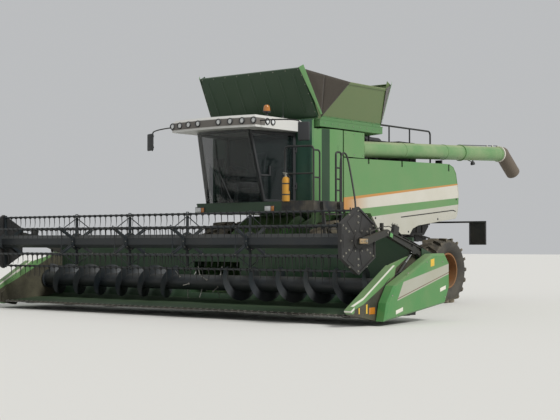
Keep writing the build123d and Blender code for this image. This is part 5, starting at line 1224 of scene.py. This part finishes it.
# straw hood: stiffening ribs and its rear rubber curtain; lamps and blank plates on the boards
form, curtain = newForms(2)
for side, hand in hands:
    addSide(side, addBlock, form, *[((0.7595, y, 1.60), (0.776, y + 0.04, high), 0.004) for y,
        high in ((7.05, 2.6), (7.45, 2.6), (7.85, 2.6), (8.1, 2.5))],
        ((0.7595, 6.95, 1.575), (0.776, 8.2, 1.615), 0.004))
for k in range(19):
    x = -0.70 + k * 0.0737
    addBlock(curtain, (x, 8.365, 1.66 + 0.012 * (k % 3)), (x + 0.068, 8.372, 2.01))
addBlock(curtain, (-0.71, 8.36, 1.985), (0.71, 8.376, 2.03), 0.004)
makePiece("hood_ribs", form, "black")
makePiece("hood_curtain", curtain, "hose")
boards = {"y": 8.4685, "x0": 1.845, "x1": 2.275, "z0": 1.33, "z1": 1.88, "edge": 0.02, "lamp": (0.05, 0.15)}
y, x0, x1, z0, z1, edge = [boards[key] for key in ("y", "x0", "x1", "z0", "z1", "edge")]
middle = (x0 + x1) / 2
frames, red, amber, plates = newForms(4)
for side, hand in hands:
    addSide(side, addBlock, plates, ((x0 + edge, y - 0.001, z0 + 0.20), (x1 - edge, y + 0.003, z1 - edge),
        0.001))
    addSide(side, addBlock, frames, ((x0 + edge, y - 0.001, z0 + 0.03), (x1 - edge, y + 0.03, z0 + 0.17),
        0.012),
        *[((x, 8.425, z0), (x + edge, 8.452, z1), 0.003) for x in (x0, x1 - edge)])
    for target, near, far in ((red, -0.17, 0.0), (amber, 0.02, 0.17)):
        addSide(side, addBlock, target, ((middle + near, y + 0.028, z0 + boards["lamp"][0]), (middle + far,
            y + 0.038, z0 + boards["lamp"][1]), 0.005))
    addSide(side, addBar, frames, *[((x, 8.452, z), (x, end, z), 0.012, 6) for x in (x0 + 0.05, x1 - 0.05)
        for z, end in ((1.86, 8.438), (1.36, 8.44))])
addBlock(plates, (-0.26, 8.3985, 2.08), (0.26, 8.404, 2.20), 0.002)
addEach(addBlock, frames, *[((x - 0.03, 8.398, 2.215), (x + 0.03, 8.43, 2.245), 0.006) for x in (-0.12,
    0.12)])
makePiece("rear_lamp_frames", frames, "trim")
makePiece("rear_red_lenses", red, "redLens")
makePiece("rear_amber_lenses", amber, "amberLens")
makePiece("rear_blank_plates", plates, "plate")
print("rear")

# side panels: round locks, lower edge roll, and a dark bar along the crease that is painted shade
panel = {"outer": 1.50, "roll": 0.007, "locks": [(4.12, 2.08), (5.05, 1.90), (6.35, 1.62), (7.6, 1.92),
    (8.44, 2.4)], "crease": [(6.05, 1.936), (8.30, 2.136), (8.405, 2.11)],
    "edge": [(3.905, 2.004), (4.852, 2.004), (5.252, 1.574), (6.398, 1.567), (6.518, 1.694), (6.743, 1.768),
    (8.398, 1.952), (8.467, 2.036),
    (8.521, 2.25), (8.536, 2.56), (8.42, 3.007), (8.298, 3.146), (8.101, 3.206)]}
for side, hand in hands:
    form, locks = newForms(2)
    x = side * (panel["outer"] + 0.001)
    for (ya, za), (yb, zb) in zip(panel["edge"], panel["edge"][1:]):
        addEach(addBar, form, ((x, ya, za), (x, yb, zb), panel["roll"], 8), ((x, yb - 0.001, zb),
            (x, yb + 0.001, zb), panel["roll"], 8))
    makePiece("panel_edge_roll_" + hand, form, "panel", "panel_" + hand)
    for y, z in panel["locks"]:
        addTurned(locks, [(0.0, 0.008), (0.012, 0.008), (0.022, 0.006), (0.026, 0.0), (0.026, -0.002)],
            (side * panel["outer"], y, z), (side, 0, 0), 20)
        addBlock(locks, (x, y - 0.003, z - 0.014), (x + side * 0.011, y + 0.003, z + 0.014))
    # the dark bar along the crease is painted shade in the crease
    addEach(addBar, locks, *[((side * 1.4915, *a), (side * 1.4915, *b), 0.009, 8) for a,
        b in zip(panel["crease"], panel["crease"][1:])])
    makePiece("panel_locks_and_crease_shade_" + hand, locks, "trim", "panel_" + hand)

# front corners: a dark strip along the rounding, painted shade where the gap is, and a vent grille
corner = {"centre": (0.4173, 3.7032), "radius": 1.0940, "gapFrom": 3.25, "gapStep": 0.03, "gapHalf": 0.004,
    "slats": 6}
form, slats, gapShadeForm = newForms(3)
for side, hand in hands:
    plan = [corner["gapFrom"] + corner["gapStep"] * k for k in range(7)]
    plan = [(corner["centre"][0] + math.sqrt(corner["radius"] ** 2 - (y - corner["centre"][1]) ** 2), y)
        for y in plan]
    outline = [(x + corner["gapHalf"], y, 2.0) for x, y in plan] + [(x - corner["gapHalf"], y, 2.0) for x,
        y in reversed(plan)]
    # the dark strip along the rounding is painted shade for the gap there
    addPlate(gapShadeForm, flip(outline, side), (0, 0, 1.675))
    tilt = leant(0, -side * math.radians(7))
    addSide(side, addBlock, form, ((1.476, 3.493, 3.186), (1.496, 3.701, 3.376), 0.006, tilt))
    addSide(side, addBlock, slats, *[((1.488, 3.51, z), (1.502, 3.685, z + 0.012), 0.002, tilt)
        for z in [3.20 + 0.028 * k for k in range(corner["slats"])]])
makePiece("corner_gap_shade", gapShadeForm, "paintedShadeGreen")
makePiece("corner_vents", form, "trim", "root")
makePiece("corner_vent_slats", slats, "black")

# platform: ladder handrail behind the deck, step grips, kick strip and a rubber mat at the door
makePipes("ladder_handrails", [[(2.065, 2.98, 2.12), (2.065, 2.98, 2.6), (2.065, 2.99, 3.02), (2.065, 3.05,
    3.14), (2.07, 3.14, 3.15), (2.09, 3.20, 3.05), (2.18, 3.18, 2.72),
    (2.28, 3.13, 2.40), (2.36, 3.085, 2.12), (2.385, 3.03, 1.86), (2.35, 2.95, 1.68), (2.26, 2.885, 1.60),
    (2.19, 2.87, 1.59)]], 0.018, "black")
ladder = {"steps": 6, "low": 0.51, "rise": 0.279, "x": 2.29, "lean": 0.18 / 1.68, "foot": 0.48}
form, band = newForms(2)
for z in [ladder["low"] + k * ladder["rise"] for k in range(ladder["steps"])]:
    x = ladder["x"] - ladder["lean"] * (z - ladder["foot"])
    addEach(addBlock, form, *[((x - 0.06, 2.33 + 0.063 * j, z + 0.024), (x + 0.10, 2.345 + 0.063 * j,
        z + 0.031)) for j in range(8)])
addBlock(form, (1.46, 2.2, 2.1795), (1.95, 2.9, 2.1825), 0.001)
addEach(addBlock, form, *[((1.47 + 0.04 * k, 2.22, 2.182), (1.48 + 0.04 * k, 2.88, 2.185))
    for k in range(12)])
makePiece("step_grips_and_mat", form, "hose")
addEach(addBar, band, *[((x, 2.121, 2.16), (x, 2.112, 2.16), 0.011, 6) for x in (-0.95, -0.55, -0.15, 0.25,
    0.65, 1.1)])
addBlock(band, (-0.95, 2.108, 1.955), (1.36, 2.122, 1.972), 0.003)
# the band under the windscreen stands in shade; its trim wears the green darkened as painted shade
makePiece("band_trim", band, "paintedShadeGreen")
print("panels and platform")

# rear end: work lamps and reflectors on the rear skin, bolts along it, ribs, hinges and grips on the hood
rear = {"skin": 8.44, "lampX": 1.27, "lampZ": 2.91, "lampOut": 0.062, "reflectorZ": 2.73, "hood": 8.40,
    "hingeX": 0.56}
form, lens, red, bolts = newForms(4)
skin, back, hinge = rear["skin"], rear["hood"], rear["hingeX"]
for side, hand in hands:
    x = side * rear["lampX"]
    lampPlace, reflector, ahead = (x, skin + rear["lampOut"], rear["lampZ"]), (x, skin,
        rear["reflectorZ"]), (0, 1, -0.35)
    addBlock(form, (x - 0.035, skin - 0.002, 2.955), (x + 0.035, skin + 0.03, 2.99), 0.004)
    addTurned(form, [(0.0, -0.045), (0.04, -0.04), (0.062, -0.01), (0.064, 0.02), (0.056, 0.022),
        (0.052, 0.008)], lampPlace, ahead, 28)
    addTurned(lens, [(0.053, 0.007), (0.05, 0.014), (0.03, 0.02), (0.0, 0.022)], lampPlace, ahead, 28)
    addTurned(red, [(0.04, -0.001), (0.04, 0.006), (0.036, 0.009), (0.0, 0.009)], reflector, (0, 1, 0), 28)
    addTurned(form, [(0.039, -0.001), (0.048, -0.001), (0.048, 0.008), (0.041, 0.01)], reflector, (0, 1, 0),
        28)
    addSide(side, addBar, bolts, *[((0.1 + 0.19 * k, skin - 0.002, z), (0.1 + 0.19 * k, skin + 0.01, z),
        0.011, 6) for z in (2.655, 3.005) for k in range(7)],
        *[((hinge, back - 0.001, z), (hinge, back + 0.012, z), 0.014, 6) for z in (1.84, 2.17)])
    addSide(side, addBlock, form, *[((x - 0.02, back - 0.001, 1.775), (x + 0.02, back + 0.012, 2.235), 0.004)
        for x in (0.40, 0.715)],
        ((hinge - 0.05, back - 0.03, 2.235), (hinge + 0.05, back + 0.012, 2.275), 0.006))
    addPin(form, side * hinge - 0.07, side * hinge + 0.07, back + 0.004, 2.262, 0.014, 14)
addBlock(form, (-0.74, back - 0.001, 1.765), (0.74, back + 0.01, 1.80), 0.003)
makePiece("rear_lamps_and_ribs", form, "trim", "root")
makePiece("rear_work_lenses", lens, "clearLens")
makePiece("rear_round_reflectors", red, "redLens")
makePiece("rear_bolts", bolts, "nut")
grip = [(-0.09, 0.0), (-0.09, 0.05), (0.09, 0.05), (0.09, 0.0)]
makePipes("rear_grips", [[(side * 0.22 + x, back + out, 1.93) for x, out in grip] for side, hand in hands],
    0.010, "black")
print("rear end")

# floor, light and the camera where the photographer stood
floorForm = bmesh.new()
bmesh.ops.create_grid(floorForm, x_segments=1, y_segments=1, size=120)
floorMesh = bpy.data.meshes.new("floor")
floorForm.to_mesh(floorMesh)
floorForm.free()
floor = bpy.data.objects.new("floor", floorMesh)
scene.collection.objects.link(floor)
floorMat, add, shader, coords = startMaterial("pale_floor")
add(shader, Base_Color="#dddbd5", Roughness=0.9)
floor.data.materials.append(floorMat)

studio = {"skyStrength": 0.62, "sky": "#e8eaec", "sun": 2.6, "sunFrom": (0.82, -0.12, 0.62),
    "sunSoftness": 14}
world = scene.world or bpy.data.worlds.new("studio")
scene.world = world
world.use_nodes = True
sky = world.node_tree.nodes["Background"]
sky.inputs["Color"].default_value = fromHex(studio["sky"])
sky.inputs["Strength"].default_value = studio["skyStrength"]
sunLamp = bpy.data.lights.new("softKey", "SUN")
sunLamp.energy = studio["sun"]
sunLamp.angle = math.radians(studio["sunSoftness"])
sun = bpy.data.objects.new("softKey", sunLamp)
sun.rotation_euler = Vector(studio["sunFrom"]).to_track_quat("Z", "Y").to_euler()
scene.collection.objects.link(sun)

camera = {"place": (15.80, -16.19, 1.35), "look": (-0.6225, 0.7826), "up": 1.62, "lens": 77.14,
    "sensor": 36.0, "far": 400}
camData = bpy.data.cameras.new("photoCamera")
camData.lens = camera["lens"]
camData.sensor_width = camera["sensor"]
camData.clip_end = camera["far"]
cam = bpy.data.objects.new("photoCamera", camData)
cam.location = at(*camera["place"])
cam.rotation_euler = Vector((*camera["look"], math.tan(math.radians(camera["up"])))).to_track_quat("-Z",
    "Y").to_euler()
scene.collection.objects.link(cam)
scene.camera = cam
scene.view_settings.view_transform = "Standard"
print("camera and light")
